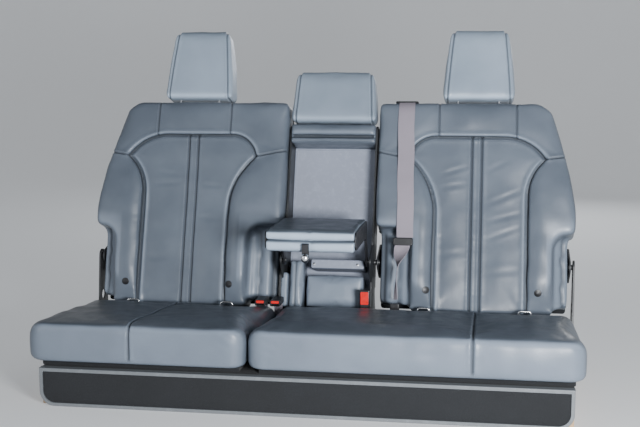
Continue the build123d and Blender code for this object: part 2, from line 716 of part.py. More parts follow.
with BuildPart() as buckle_stalks:
    lying_stalk_y = lying_front_y + BUCKLE_LENGTH - STALK_OVERLAP
    for x, y, top_z in (
        (lying_x[0], lying_stalk_y, lying_z),
        (lying_x[1], lying_stalk_y, lying_z),
        (upright_x, upright_y, upright_top_z - BUCKLE_LENGTH),
    ):
        with BuildSketch(Plane.XY.offset(anchor_foot_z)):
            with Locations((x, y)):
                Rectangle(STALK_WIDTH, STALK_THICK)
        extrude(amount=top_z - anchor_foot_z)
save(buckle_stalks, "buckle_stalks")

# Right outer back; the left one mirrors it

OUTER_EDGE = [
    # in from the widest x, down from the top s, corner radius, going up
    (0, 316, 60),
    (18, 206, 120),
    (42, 113, 120),
    (67, 30, 26),
    (104, 0, 30),
]
BACK_PROFILE = [
    # s, n, corner radius, from the rear bottom corner forwards and up
    (BACK_BOTTOM_S, -PAD_DEPTH, 0),
    (BACK_BOTTOM_S, 4, 20),
    (70, BOLSTER_RISE, 120),
    (BACK_TOP_S - 261, BOLSTER_RISE, 160),
    (BACK_TOP_S - 141, YOKE_RISE, 120),
    (BACK_TOP_S, YOKE_RISE - 4, 18),
    (BACK_TOP_S, -PAD_DEPTH, 0),
]
POCKET_OVERLAP = 2
POST_BORE = GUIDE_LENGTH + GUIDE_WELL
inner_hinge_clear_x = INNER_HINGE_X + HINGE_PLATE + BACK_GAP
outer_hinge_clear_x = OUTER_HINGE_X - BACK_GAP


def outer_edge(inset):
    """Rows of the back's outer edge, moved in and down by an inset."""
    return [
        (BACK_HALF_WIDTH - inset - inward, BACK_TOP_S - inset - below, radius)
        for inward, below, radius in OUTER_EDGE
    ]


def insert_face():
    """Sunken front insert: straight sides, flared ears and a flat arch."""
    foot_s = BACK_BOTTOM_S - INSERT_EAR_DROP
    ear_s = INSERT_TOP_S - INSERT_EAR_DROP
    inner_ear = (INSERT_INNER_X - INSERT_INNER_FLARE, ear_s)
    outer_ear = (INSERT_OUTER_X + INSERT_OUTER_FLARE, ear_s)
    inner_waist = (INSERT_INNER_X, INSERT_INNER_WAIST_S)
    outer_waist = (INSERT_OUTER_X, INSERT_OUTER_WAIST_S)
    arch_start = (INSERT_INNER_X, INSERT_TOP_S)
    arch_end = (INSERT_ARCH_OUTER_X, INSERT_TOP_S)
    with BuildLine() as outline:
        Polyline(inner_waist, (INSERT_INNER_X, foot_s), (INSERT_OUTER_X, foot_s), outer_waist)
        TangentArc(outer_waist, outer_ear, tangent=(0, 1))
        TangentArc(arch_end, outer_ear, tangent=(1, 0))
        Line(arch_start, arch_end)
        TangentArc(arch_start, inner_ear, tangent=(-1, 0))
        TangentArc(inner_waist, inner_ear, tangent=(0, 1))
    make_face(outline.edges())


with BuildPart() as back_right_pad:
    with BuildSketch(BACK.offset(-PAD_DEPTH)):
        rounded_face(
            [
                (INNER_POCKET_X, BACK_BOTTOM_S, 12),
                (OUTER_POCKET_X, BACK_BOTTOM_S, 12),
                (OUTER_POCKET_X, OUTER_POCKET_TOP_S, OUTER_POCKET_RADIUS),
                (BACK_HALF_WIDTH, OUTER_POCKET_TOP_S, 10),
            ]
            + outer_edge(0)
            + [
                (BACK_INNER_X, BACK_TOP_S, 9),
                (BACK_INNER_X, INNER_POCKET_TOP_S, 8),
                (INNER_POCKET_X, INNER_POCKET_TOP_S, INNER_POCKET_RADIUS),
            ]
        )
    extrude(amount=PAD_DEPTH + BOLSTER_RISE)
    with BuildSketch(Plane.YZ):
        rounded_side_face(BACK_PROFILE)
    extrude(amount=BACK_HALF_WIDTH, mode=Mode.INTERSECT)
    with BuildSketch(BACK):
        insert_face()
    extrude(amount=PAD_DEPTH, mode=Mode.SUBTRACT)
    with BuildSketch(BACK.offset(-PAD_DEPTH)):
        for low_x, high_x, top_s in (
            (inner_hinge_clear_x, INNER_POCKET_X + POCKET_OVERLAP, INNER_POCKET_TOP_S),
            (OUTER_POCKET_X - POCKET_OVERLAP, outer_hinge_clear_x, OUTER_POCKET_TOP_S),
        ):
            high_s = top_s + POCKET_OVERLAP
            with Locations(((low_x + high_x) / 2, (POCKET_FLOOR_S + high_s) / 2)):
                Rectangle(high_x - low_x, high_s - POCKET_FLOOR_S)
    extrude(amount=PAD_DEPTH + POCKET_FLOOR_N)
    with BuildSketch(across_back(BACK_TOP_S - POST_BORE)):
        with Locations(*post_places(PLACE_X)):
            Circle(GUIDE_RADIUS + TOUCH)
    extrude(amount=POST_BORE + TOUCH, mode=Mode.SUBTRACT)
save(back_right_pad, "back_right_pad")

with BuildPart() as back_left_pad:
    mirror(back_right_pad.part, about=Plane.YZ)
save(back_left_pad, "back_left_pad")

with BuildPart() as back_right_panel:
    panel_top_s = BACK_TOP_S - BACK_PANEL_INSET
    with BuildSketch(BACK.offset(-PAD_DEPTH - BACK_PANEL)):
        rounded_face(
            [
                (inner_hinge_clear_x, 0, 8),
                (outer_hinge_clear_x, 0, 8),
                (outer_hinge_clear_x, OUTER_POCKET_TOP_S, 6),
                (BACK_HALF_WIDTH - BACK_PANEL_INSET, OUTER_POCKET_TOP_S + BACK_PANEL_INSET, 8),
            ]
            + outer_edge(BACK_PANEL_INSET)
            + [
                (BACK_INNER_X, panel_top_s, 9),
                (BACK_INNER_X, INNER_POCKET_TOP_S, 5),
                (inner_hinge_clear_x, INNER_POCKET_TOP_S - BACK_PANEL_INSET, 5),
            ]
        )
    extrude(amount=BACK_PANEL)
    rear = back_right_panel.faces().sort_by(FORWARD)[0]
    chamfer(rear.edges(), length=BACK_PANEL / 3)
save(back_right_panel, "back_right_panel")

with BuildPart() as back_left_panel:
    mirror(back_right_panel.part, about=Plane.YZ)
save(back_left_panel, "back_left_panel")

# Hinge arms: a plate with the pivot's eye and a flange riveted behind the panel

flange_n = -PAD_DEPTH - BACK_PANEL
flange_low_s = PIVOT_S - HINGE_FLANGE_DROP
flange_high_s = flange_low_s + HINGE_FLANGE_LENGTH

with BuildPart() as back_right_hinges:
    for plate_x, flange_x in (
        (INNER_HINGE_X, INNER_HINGE_X),
        (OUTER_HINGE_X, OUTER_HINGE_X + HINGE_PLATE - HINGE_FLANGE),
    ):
        with BuildSketch(Plane.YZ.offset(plate_x)):
            with Locations(pivot):
                Circle(HINGE_HEAD_RADIUS)
            with BuildLine():
                Polyline(
                    side_point(flange_low_s, flange_n),
                    side_point(flange_low_s, flange_n - HINGE_FLANGE_THICK),
                    side_point(flange_high_s, flange_n - HINGE_FLANGE_THICK),
                    side_point(flange_high_s, flange_n),
                    close=True,
                )
            make_face()
            make_hull()
            with Locations(pivot):
                Circle(PIVOT_RADIUS + PIVOT_CLEARANCE, mode=Mode.SUBTRACT)
        extrude(amount=HINGE_PLATE)
        with BuildSketch(BACK.offset(flange_n - HINGE_FLANGE_THICK)):
            with Locations((flange_x, flange_low_s)):
                Rectangle(HINGE_FLANGE, HINGE_FLANGE_LENGTH, align=(Align.MIN, Align.MIN))
        extrude(amount=HINGE_FLANGE_THICK)
save(back_right_hinges, "back_right_hinges")

with BuildPart() as back_left_hinges:
    mirror(back_right_hinges.part, about=Plane.YZ)
save(back_left_hinges, "back_left_hinges")

# Headrests on two posts each, sliding in guide sleeves

Headrest = namedtuple(
    "Headrest", "centre_x carrier_s gap half_width taper height front_n depth guide_length"
)
outer_headrest = Headrest(
    centre_x=PLACE_X,
    carrier_s=BACK_TOP_S,
    gap=HEADREST_GAP,
    half_width=HEADREST_HALF_WIDTH,
    taper=HEADREST_TAPER,
    height=HEADREST_HEIGHT,
    front_n=HEADREST_FRONT_N,
    depth=HEADREST_DEPTH,
    guide_length=GUIDE_LENGTH,
)
headrests = {
    "left": outer_headrest._replace(centre_x=-PLACE_X),
    "right": outer_headrest,
    "centre": Headrest(
        centre_x=0,
        carrier_s=COLUMN_TOP_S,
        gap=CENTRE_HEADREST_GAP,
        half_width=CENTRE_HEADREST_HALF_WIDTH,
        taper=CENTRE_HEADREST_TAPER,
        height=CENTRE_HEADREST_HEIGHT,
        front_n=CENTRE_HEADREST_FRONT_N,
        depth=CENTRE_HEADREST_DEPTH,
        guide_length=COLUMN_TOP_S - RECESS_TOP_S,
    ),
}

for name, row in headrests.items():
    bottom_s = row.carrier_s + row.gap
    top_s = bottom_s + row.height
    rear_n = row.front_n - row.depth
    top_front_n = row.front_n - HEADREST_TOP_LEAN
    low_x = row.centre_x - row.half_width
    high_x = row.centre_x + row.half_width
    with BuildPart() as headrest_pad:
        with BuildSketch(Plane.YZ.offset(low_x)):
            rounded_side_face(
                [
                    (bottom_s, row.front_n, 20),
                    (top_s, top_front_n, 36),
                    (top_s, top_front_n - HEADREST_TOP_DEPTH, 24),
                    (bottom_s + HEADREST_BULGE_RISE, rear_n, 60),
                    (bottom_s, rear_n + HEADREST_FOOT_SETBACK, 20),
                ]
            )
        extrude(amount=2 * row.half_width)
        cheeks = headrest_pad.faces().sort_by(Axis.X)
        fillet(cheeks[0].edges() + cheeks[-1].edges(), radius=HEADREST_RIM_RADIUS)
        with BuildSketch(BACK.offset(rear_n)):
            rounded_face(
                [
                    (low_x, bottom_s, 22),
                    (high_x, bottom_s, 22),
                    (high_x - row.taper, top_s, 34),
                    (low_x + row.taper, top_s, 34),
                ]
            )
        extrude(amount=row.depth, mode=Mode.INTERSECT)
    save(headrest_pad, f"headrest_{name}_pad")

    with BuildPart() as headrest_posts:
        with BuildSketch(across_back(bottom_s)):
            with Locations(*post_places(row.centre_x)):
                Circle(POST_RADIUS)
        extrude(amount=-(row.gap + row.guide_length))
    save(headrest_posts, f"headrest_{name}_posts")

    with BuildPart() as guides:
        for radius, length in (
            (GUIDE_FLANGE_RADIUS, GUIDE_FLANGE),
            (GUIDE_RADIUS, -row.guide_length),
        ):
            with BuildSketch(across_back(row.carrier_s)):
                with Locations(*post_places(row.centre_x)):
                    Circle(radius)
                    Circle(POST_RADIUS + PIVOT_CLEARANCE, mode=Mode.SUBTRACT)
            extrude(amount=length)
    save(guides, f"headrest_{name}_guides")

# Armrest: padded body and lid between two side arms that carry the pivot eyes

lid_z = ARMREST_BOTTOM_Z + ARMREST_BODY_THICK
for name, low_z, high_z in (
    ("body", ARMREST_BOTTOM_Z, lid_z - ARMREST_PARTING),
    ("lid", lid_z, ARMREST_TOP_Z),
):
    with BuildPart() as armrest_pad:
        with BuildSketch(Plane.YZ.offset(-ARMREST_PAD_HALF_WIDTH)):
            rounded_face(
                [
                    (ARMREST_FRONT_Y, low_z, ARMREST_NOSE_RADIUS),
                    (ARMREST_REAR_Y, low_z, ARMREST_TAIL_RADIUS),
                    (ARMREST_REAR_Y, high_z, ARMREST_TAIL_RADIUS),
                    (ARMREST_FRONT_Y, high_z, ARMREST_NOSE_RADIUS),
                ]
            )
        extrude(amount=2 * ARMREST_PAD_HALF_WIDTH)
    save(armrest_pad, f"armrest_{name}")

with BuildPart() as armrest_arms:
    arm_front_y = ARMREST_FRONT_Y + ARMREST_ARM_SETBACK
    arm_middle = ((arm_front_y + ARMREST_REAR_Y) / 2, ARMREST_TOP_Z - ARMREST_THICK / 2)
    with BuildSketch(Plane.YZ.offset(ARMREST_PAD_HALF_WIDTH)):
        with Locations(armrest_pivot):
            Circle(ARMREST_EYE_RADIUS)
        with Locations(
            (ARMREST_REAR_Y - ARMREST_HEEL_SETBACK, ARMREST_BOTTOM_Z + ARMREST_HEEL_RADIUS)
        ):
            Circle(ARMREST_HEEL_RADIUS)
        make_hull()
        with Locations(arm_middle):
            RectangleRounded(
                ARMREST_REAR_Y - arm_front_y,
                ARMREST_THICK - 2 * ARMREST_ARM_EDGE,
                ARMREST_ARM_RADIUS,
            )
        with Locations(armrest_pivot):
            Circle(ARMREST_PIN_RADIUS + PIVOT_CLEARANCE, mode=Mode.SUBTRACT)
    extrude(amount=ARMREST_ARM)
    mirror(about=Plane.YZ)
save(armrest_arms, "armrest_arms")

with BuildPart() as armrest_latch:
    latch_top_z = ARMREST_TOP_Z - LATCH_TOP_DROP
    latch_tip_z = ARMREST_BOTTOM_Z - LATCH_REACH
    latch_front_y = ARMREST_FRONT_Y - LATCH_THICK
    with BuildSketch(Plane.YZ.offset(LATCH_X - LATCH_WIDTH / 2)):
        with BuildLine():
            FilletPolyline(
                (ARMREST_FRONT_Y, latch_top_z),
                (latch_front_y, latch_top_z - 2 * LATCH_RADIUS),
                (latch_front_y, latch_tip_z),
                (latch_front_y + LATCH_TIP_THICK, latch_tip_z),
                (ARMREST_FRONT_Y, ARMREST_BOTTOM_Z),
                radius=LATCH_RADIUS,
                close=True,
            )
        make_face()
    extrude(amount=LATCH_WIDTH)
save(armrest_latch, "armrest_latch")

# Centre place's shoulder belt: bezel on the right back's top edge, webbing down its
# front, tongue, a twisted lower tail, and the small buckle at the bight

slot_length = WEBBING_WIDTH + 2 * BELT_SLOT_CLEARANCE
slot_depth = WEBBING_THICK + 2 * BELT_SLOT_CLEARANCE
belt_low_x = BELT_X - WEBBING_WIDTH / 2

with BuildPart() as belt_bezel:
    with BuildSketch(across_back(BACK_TOP_S)):
        with Locations((BELT_X, -BELT_SLOT_N)):
            RectangleRounded(WEBBING_WIDTH + 2 * BEZEL_BORDER, BEZEL_DEPTH, BEZEL_CORNER_RADIUS)
            Rectangle(slot_length, slot_depth, mode=Mode.SUBTRACT)
    extrude(amount=BEZEL_HEIGHT)
    top_rim = belt_bezel.faces().sort_by(UPWARD)[-1].outer_wire().edges()
    fillet(top_rim, radius=BEZEL_RIM_RADIUS)
save(belt_bezel, "belt_bezel")

BELT_RUN = [
    # s, n, corner radius, from the slot over the top edge and down the front
    (BACK_TOP_S + TOUCH, BELT_SLOT_N, 0),
    (BACK_TOP_S + 9, BELT_SLOT_N, 5),
    (BACK_TOP_S + 5, YOKE_RISE + 3, 7),
    (BACK_TOP_S - 131, YOKE_RISE + 5, 200),
    (BACK_TOP_S - 256, BOLSTER_RISE + 2, 200),
    (TONGUE_S + 12, BOLSTER_RISE + 2, 0),
]

with BuildPart() as belt_webbing:
    with BuildSketch(Plane.YZ.offset(belt_low_x)):
        with BuildLine():
            FilletPolyline(
                *[side_point(s, n) for s, n, radius in BELT_RUN],
                radius=[radius for s, n, radius in BELT_RUN[1:-1]],
            )
        trace(line_width=WEBBING_THICK)
    extrude(amount=WEBBING_WIDTH)
save(belt_webbing, "belt_webbing")

with BuildPart() as belt_tongue:
    with BuildSketch(BACK.offset(BOLSTER_RISE + TOUCH)):
        with Locations((BELT_X + TONGUE_SHIFT_X, TONGUE_S)):
            RectangleRounded(
                WEBBING_WIDTH + 2 * TONGUE_BORDER, TONGUE_HEIGHT, TONGUE_CORNER_RADIUS
            )
    extrude(amount=TONGUE_THICK)
    front = belt_tongue.faces().sort_by(FORWARD)[-1]
    fillet(front.edges(), radius=TONGUE_RIM_RADIUS)
save(belt_tongue, "belt_tongue")

with BuildPart() as belt_tail:
    tail_high_s = TONGUE_S - TONGUE_HEIGHT / 2 - TOUCH
    tail_front_n = BOLSTER_RISE + TONGUE_THICK / 2
    with BuildSketch(Plane.YZ.offset(BELT_X - TAIL_SETBACK_X)):
        with BuildLine():
            Polyline(
                side_point(tail_high_s, tail_front_n),
                side_point(tail_high_s, tail_front_n - TAIL_HIGH_DEPTH),
                side_point(TAIL_LOW_S, TAIL_LOW_N),
                side_point(TAIL_LOW_S, TAIL_LOW_N + TAIL_LOW_DEPTH),
                close=True,
            )
        make_face()
    extrude(amount=WEBBING_THICK)
save(belt_tail, "belt_tail")

with BuildPart() as belt_anchor:
    belt_anchor_x = BELT_X - BELT_ANCHOR_SHIFT_X
    belt_anchor_top_z = BIGHT_Z + BELT_ANCHOR_RISE
    belt_anchor_low_z = belt_anchor_top_z - BELT_ANCHOR_LENGTH
    with BuildSketch(Plane.XY.offset(belt_anchor_low_z)):
        with Locations((belt_anchor_x, upright_y)):
            RectangleRounded(BELT_ANCHOR_WIDTH, BELT_ANCHOR_THICK, BELT_ANCHOR_RADIUS)
    extrude(amount=BELT_ANCHOR_LENGTH)
    with BuildSketch(Plane.XY.offset(anchor_foot_z)):
        with Locations((belt_anchor_x, upright_y)):
            Rectangle(BELT_ANCHOR_STRAP_WIDTH, STALK_THICK)
    extrude(amount=belt_anchor_low_z - anchor_foot_z)
save(belt_anchor, "belt_anchor")
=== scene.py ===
import json
from math import atan2, ceil, cos, pi, radians, sin

import bmesh
import bpy
import numpy as np
from mathutils import Matrix, Vector, noise
from mathutils.bvhtree import BVHTree


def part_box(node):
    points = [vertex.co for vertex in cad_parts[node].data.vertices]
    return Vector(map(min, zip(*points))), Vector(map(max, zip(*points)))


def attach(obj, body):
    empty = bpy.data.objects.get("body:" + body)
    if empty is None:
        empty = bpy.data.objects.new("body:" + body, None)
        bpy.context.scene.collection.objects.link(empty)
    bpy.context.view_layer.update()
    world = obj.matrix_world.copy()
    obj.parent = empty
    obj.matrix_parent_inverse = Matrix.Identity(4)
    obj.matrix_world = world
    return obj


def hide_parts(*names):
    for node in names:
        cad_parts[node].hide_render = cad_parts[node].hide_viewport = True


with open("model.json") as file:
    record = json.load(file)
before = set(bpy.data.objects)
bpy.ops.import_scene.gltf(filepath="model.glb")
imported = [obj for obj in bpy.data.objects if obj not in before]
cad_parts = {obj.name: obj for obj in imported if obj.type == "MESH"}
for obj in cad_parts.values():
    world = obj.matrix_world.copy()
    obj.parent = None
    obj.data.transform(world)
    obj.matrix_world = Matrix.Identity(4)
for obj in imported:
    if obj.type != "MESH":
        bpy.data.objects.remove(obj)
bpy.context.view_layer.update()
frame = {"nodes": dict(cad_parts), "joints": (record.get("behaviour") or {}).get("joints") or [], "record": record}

scene = bpy.context.scene
NODES = frame["nodes"]
JOINTS = {joint["name"]: joint for joint in frame["joints"]}

# The backrest's own directions: s runs up it and n out of it, towards the sitter. Its
# pads are shaped lying in this plane, as (x, s, n), and then leaned back into place.

BIGHT = Vector((0, 0, 0.185))
UP_BACK = Vector(JOINTS["headrest_left_height"]["axis"]).normalized()
OUT_BACK = Vector((0, -UP_BACK.z, UP_BACK.y))
LEAN = Matrix.Translation(BIGHT) @ Matrix(
    ((1, 0, 0, 0), (0, UP_BACK.y, OUT_BACK.y, 0), (0, UP_BACK.z, OUT_BACK.z, 0), (0, 0, 0, 1))
)
UPRIGHT = Matrix.Identity(4)

# Sizes of the covers and fittings, in metres
BACK_FOOT = -0.012
BACK_TOP = 0.601
SOFT_TOP = 0.568
BACK_INNER_X = 0.137
BACK_OUTER_X = 0.704
PLACE_X = 0.424
POST_HALF_SPACING = 0.060
POST_N = -0.045
INSERT_INNER_X = 0.305
INSERT_OUTER_X = 0.567
INSERT_TOP = 0.495
ARCH_OUTER_X = 0.500
INNER_EAR = (0.230, 0.431)
OUTER_EAR = (0.618, 0.431)
INNER_WAIST = 0.270
OUTER_WAIST = 0.320
STRIP_X = (0.409, 0.437)
YOKE_SEAM_X = (0.312, 0.535)
EAR_SEAM_S = 0.452
RIM_TURN_S = (0.418, 0.447)
BOLSTER_FRONT = [
    # height up the back, how far the bolster stands out there
    (-0.012, 0.004),
    (0.045, 0.026),
    (0.085, 0.034),
    (0.310, 0.035),
    (0.370, 0.030),
    (0.430, 0.018),
    (0.490, 0.011),
    (0.601, 0.008),
]
BOLSTER_FLANK = 0.036
POCKET_TOP = 0.235
CUSHION_SEAM_X = 0.428
GUSSET_WIDTH = 0.0135
ROLLS_FOOT = 0.477
ROLLS_GROOVE = 0.496
ROLLS_CROWN = 0.508
SIDE_PAD_FOLD_X = -0.094
NOSE_RADIUS = 0.034
MARKER_X = (0.287, 0.600)
MARKER_S = 0.047
GAITER = (Vector((-0.13405, -0.012, -0.024)), Vector((-0.11355, 0.088, 0.016)))


# Mesh helpers

def points_of(piece):
    flat = np.empty(len(piece.data.vertices) * 3, np.float32)
    piece.data.vertices.foreach_get("co", flat)
    return flat.reshape(-1, 3).astype(float)


def normals_of(piece):
    flat = np.empty(len(piece.data.vertices) * 3, np.float32)
    piece.data.vertex_normals.foreach_get("vector", flat)
    return flat.reshape(-1, 3).astype(float)


def surface_of(piece):
    return points_of(piece), normals_of(piece)


def move_to(piece, points):
    piece.data.vertices.foreach_set("co", points.astype(np.float32).ravel())
    piece.data.update()


def keep_values(piece, name, values):
    """Store one number for each point, for the materials to read."""
    attribute = piece.data.attributes.new(name, "FLOAT", "POINT")
    attribute.data.foreach_set("value", values.astype(np.float32))


def new_piece(name, bm):
    """A piece from a finished bmesh."""
    mesh = bpy.data.meshes.new(name)
    bmesh.ops.recalc_face_normals(bm, faces=bm.faces)
    bm.to_mesh(mesh)
    bm.free()
    piece = bpy.data.objects.new(name, mesh)
    scene.collection.objects.link(piece)
    return piece


def baked(piece):
    """Turn the piece's modifiers into its mesh."""
    depsgraph = bpy.context.evaluated_depsgraph_get()
    depsgraph.update()
    mesh = bpy.data.meshes.new_from_object(piece.evaluated_get(depsgraph))
    piece.modifiers.clear()
    piece.data = mesh


def box_between(low, high):
    """A box to be shaped further."""
    bm = bmesh.new()
    bmesh.ops.create_cube(bm, size=1.0)
    bmesh.ops.scale(bm, vec=high - low, verts=bm.verts)
    bmesh.ops.translate(bm, vec=(low + high) / 2, verts=bm.verts)
    return bm


def ease_edges(bm, edges, radius, segments):
    """Round a solid's edges."""
    bmesh.ops.bevel(
        bm,
        geom=list(edges),
        offset=radius,
        offset_type="OFFSET",
        segments=segments,
        profile=0.5,
        affect="EDGES",
        material=-1,
    )


def evenly_meshed(piece, cell):
    """Remesh the piece in even squares, as cloth needs."""
    remesh = piece.modifiers.new("even mesh", "REMESH")
    remesh.mode = "VOXEL"
    remesh.voxel_size = cell
    baked(piece)
    return piece


def smoothed(piece, share, rounds):
    """Even out the cover: each point moves by a share towards its neighbours' middle."""
    points = points_of(piece)
    edges = np.empty(len(piece.data.edges) * 2, np.int32)
    piece.data.edges.foreach_get("vertices", edges)
    a, b = edges[::2], edges[1::2]
    count = len(points)
    neighbours = np.bincount(a, minlength=count) + np.bincount(b, minlength=count)
    neighbours = np.maximum(neighbours, 1)
    for _ in range(rounds):
        for axis in range(3):
            column = points[:, axis].copy()
            total = np.bincount(a, column[b], count) + np.bincount(b, column[a], count)
            points[:, axis] = column + (total / neighbours - column) * share
    move_to(piece, points)


def soft_step(value, low, high):
    """0 below low, 1 above high, and smooth between."""
    t = np.clip((value - low) / (high - low), 0, 1)
    return t * t * (3 - 2 * t)


def hollow(gap, width):
    """1 in the middle of a groove, and 0 well outside it."""
    return np.exp(-((gap / width) ** 2))


def ripple(points, size, seed):
    """Gentle unevenness from about -1 to 1, with bumps of that size."""
    offset = Vector((seed * 7.3, seed * 3.1, seed * 5.7))
    return np.array([noise.noise(Vector(p) / size + offset) for p in points]) * 2


# Seams are paths on the cover's plane

def straight(start, end):
    return np.array([start, end], float)


def bend(start, end, heading):
    """An arc that leaves start along heading and reaches end."""
    start, end, along = (np.array(v, float) for v in (start, end, heading))
    chord = end - start
    side = np.array((-along[1], along[0]))
    if chord @ side < 0:
        side = -side
    radius = chord @ chord / (2 * (chord @ side))
    turn = 2 * atan2(chord @ side, chord @ along)
    angles = np.linspace(0, turn, max(3, ceil(turn / radians(5))))[:, None]
    return start + radius * (along * np.sin(angles) + side * (1 - np.cos(angles)))


def joined(*runs):
    return np.concatenate([runs[0]] + [run[1:] for run in runs[1:]])


def near_seam(flat, path):
    """How far each point lies from a seam, how far along it, and the nearest place on it."""
    distance = np.full(len(flat), 1.0)
    along = np.zeros(len(flat))
    nearest = flat.copy()
    travelled = 0.0
    for start, end in zip(path[:-1], path[1:]):
        run = end - start
        length = np.linalg.norm(run)
        share = np.clip((flat - start) @ run / length**2, 0, 1)
        place = start + share[:, None] * run
        here = np.linalg.norm(flat - place, axis=1)
        closer = here < distance
        distance[closer] = here[closer]
        along[closer] = travelled + share[closer] * length
        nearest[closer] = place[closer]
        travelled += length
    return distance, along, nearest


def nearest_seam(flat, paths):
    """Distance to the nearest of several seams, and the length along it."""
    distance = np.full(len(flat), 1.0)
    along = np.zeros(len(flat))
    for path in paths:
        here, length, _ = near_seam(flat, path)
        closer = here < distance
        distance[closer] = here[closer]
        along[closer] = length[closer]
    return distance, along


def inside_path(flat, path):
    """True for points inside a closed path."""
    x, s = flat[:, 0], flat[:, 1]
    inside = np.zeros(len(flat), bool)
    for (x0, s0), (x1, s1) in zip(path, np.roll(path, -1, axis=0)):
        if s0 != s1:
            crosses = (s0 > s) != (s1 > s)
            inside ^= crosses & (x < (x1 - x0) * (s - s0) / (s1 - s0) + x0)
    return inside


# Padding: a plain CAD pad becomes an even mesh, swells as cloth, and gets its seams

SWELL_FRAMES = 20


def soft_copy(node, name, cell, place=UPRIGHT, plugs=()):
    """An evenly meshed copy of a plain CAD pad, in the pad's own plane. Plugs close holes."""
    bm = bmesh.new()
    bm.from_mesh(NODES[node].data)
    bmesh.ops.remove_doubles(bm, verts=bm.verts, dist=1e-5)
    bmesh.ops.transform(bm, matrix=place.inverted(), verts=bm.verts)
    for middle, radius, depth in plugs:
        bmesh.ops.create_cone(
            bm,
            cap_ends=True,
            segments=24,
            radius1=radius,
            radius2=radius,
            depth=depth,
            matrix=Matrix.Translation(middle) @ Matrix.Rotation(pi / 2, 4, "X"),
        )
    return evenly_meshed(new_piece(name, bm), cell)


def swollen(piece, held, cap, pressure=4.0):
    """Inflate the cover as cloth round its foam; held points stay, and none moves past cap."""
    start = points_of(piece)
    group = piece.vertex_groups.new(name="held")
    weights = np.round(np.clip(held, 0, 1), 1)
    for weight in np.unique(weights):
        if weight > 0:
            rows = np.nonzero(weights == weight)[0]
            group.add(rows.tolist(), float(weight), "REPLACE")
    cloth = piece.modifiers.new("cover", "CLOTH")
    settings = cloth.settings
    settings.quality = 3
    settings.mass = 0.3
    settings.tension_stiffness = 25
    settings.compression_stiffness = 25
    settings.shear_stiffness = 12
    settings.bending_stiffness = 4
    settings.use_pressure = True
    settings.uniform_pressure_force = pressure
    settings.effector_weights.gravity = 0
    settings.vertex_group_mass = "held"
    cloth.collision_settings.use_collision = False
    cloth.collision_settings.use_self_collision = False
    cloth.point_cache.frame_start = 1
    cloth.point_cache.frame_end = SWELL_FRAMES
    for step in range(1, SWELL_FRAMES + 1):
        scene.frame_set(step)
    baked(piece)
    moved = points_of(piece) - start
    length = np.linalg.norm(moved, axis=1)
    share = np.minimum(1, cap / np.maximum(length, 1e-9))
    move_to(piece, start + moved * share[:, None])
    scene.frame_set(1)
    piece.vertex_groups.clear()


def refined(piece, wanted):
    """Divide the faces whose corners are all wanted, for room to sew."""
    bm = bmesh.new()
    bm.from_mesh(piece.data)
    bm.verts.ensure_lookup_table()
    chosen = {e for f in bm.faces if all(wanted[v.index] for v in f.verts) for e in f.edges}
    bmesh.ops.subdivide_edges(bm, edges=list(chosen), cuts=1, use_grid_fill=True)
    bm.to_mesh(piece.data)
    bm.free()
    piece.data.update()


def sewn_line(gap, depth, width, swell, away, reach):
    """A seam's groove, and the swelling at some way from it."""
    return swell * hollow(gap - away, reach) - depth * hollow(gap, width)


def pucker(along, gap, seed):
    """The small gathers that a sewn seam pulls into the leather beside it."""
    turns = np.array([noise.noise(Vector((a / 0.011, seed, 0))) for a in along])
    return turns * np.exp(-gap / 0.011) * soft_step(gap, 0.002, 0.006)


def crease_field(flat, creases):
    """Depth of soft folds, each a row of start, end, depth and width."""
    depth = np.zeros(len(flat))
    for start, end, fold, width in creases:
        start, end = np.array(start), np.array(end)
        gap, along, _ = near_seam(flat, straight(start, end))
        fade = np.sin(np.clip(along / np.linalg.norm(end - start), 0.02, 0.98) * pi)
        depth += fold * fade * (hollow(gap, width) - 0.5 * hollow(gap - 1.9 * width, width))
    return depth


def placed(piece, place=UPRIGHT):
    """Lean the finished pad into the bench and shade it smooth."""
    piece.data.transform(place)
    piece.data.polygons.foreach_set("use_smooth", [True] * len(piece.data.polygons))
    piece.data.update()
    return piece


def dressed(piece, body, slot, node=None):
    """Give a piece its finish and its body, and hide the CAD node that it stands for."""
    piece.data.materials.clear()
    piece.data.materials.append(FINISHES[slot])
    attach(piece, body)
    if node:
        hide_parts(node)


def sewing_values(piece, crease=0.0, across=1.0, along=0.0, wear_and_painted_light=0.0, painted_shade=0.0):
    """What the leather's finish reads: painted shade in seams and grooves, stitches, painted light on ridges and
    fronts, and painted shade on tops.
    """
    everywhere = np.zeros(len(piece.data.vertices))
    shares = {"crease": crease, "wear_and_painted_light": wear_and_painted_light, "painted_shade": painted_shade}
    for name, values in shares.items():
        keep_values(piece, name, np.clip(values + everywhere, 0, 1))
    keep_values(piece, "seam_across", across + everywhere)
    keep_values(piece, "seam_along", along + everywhere)


# Materials

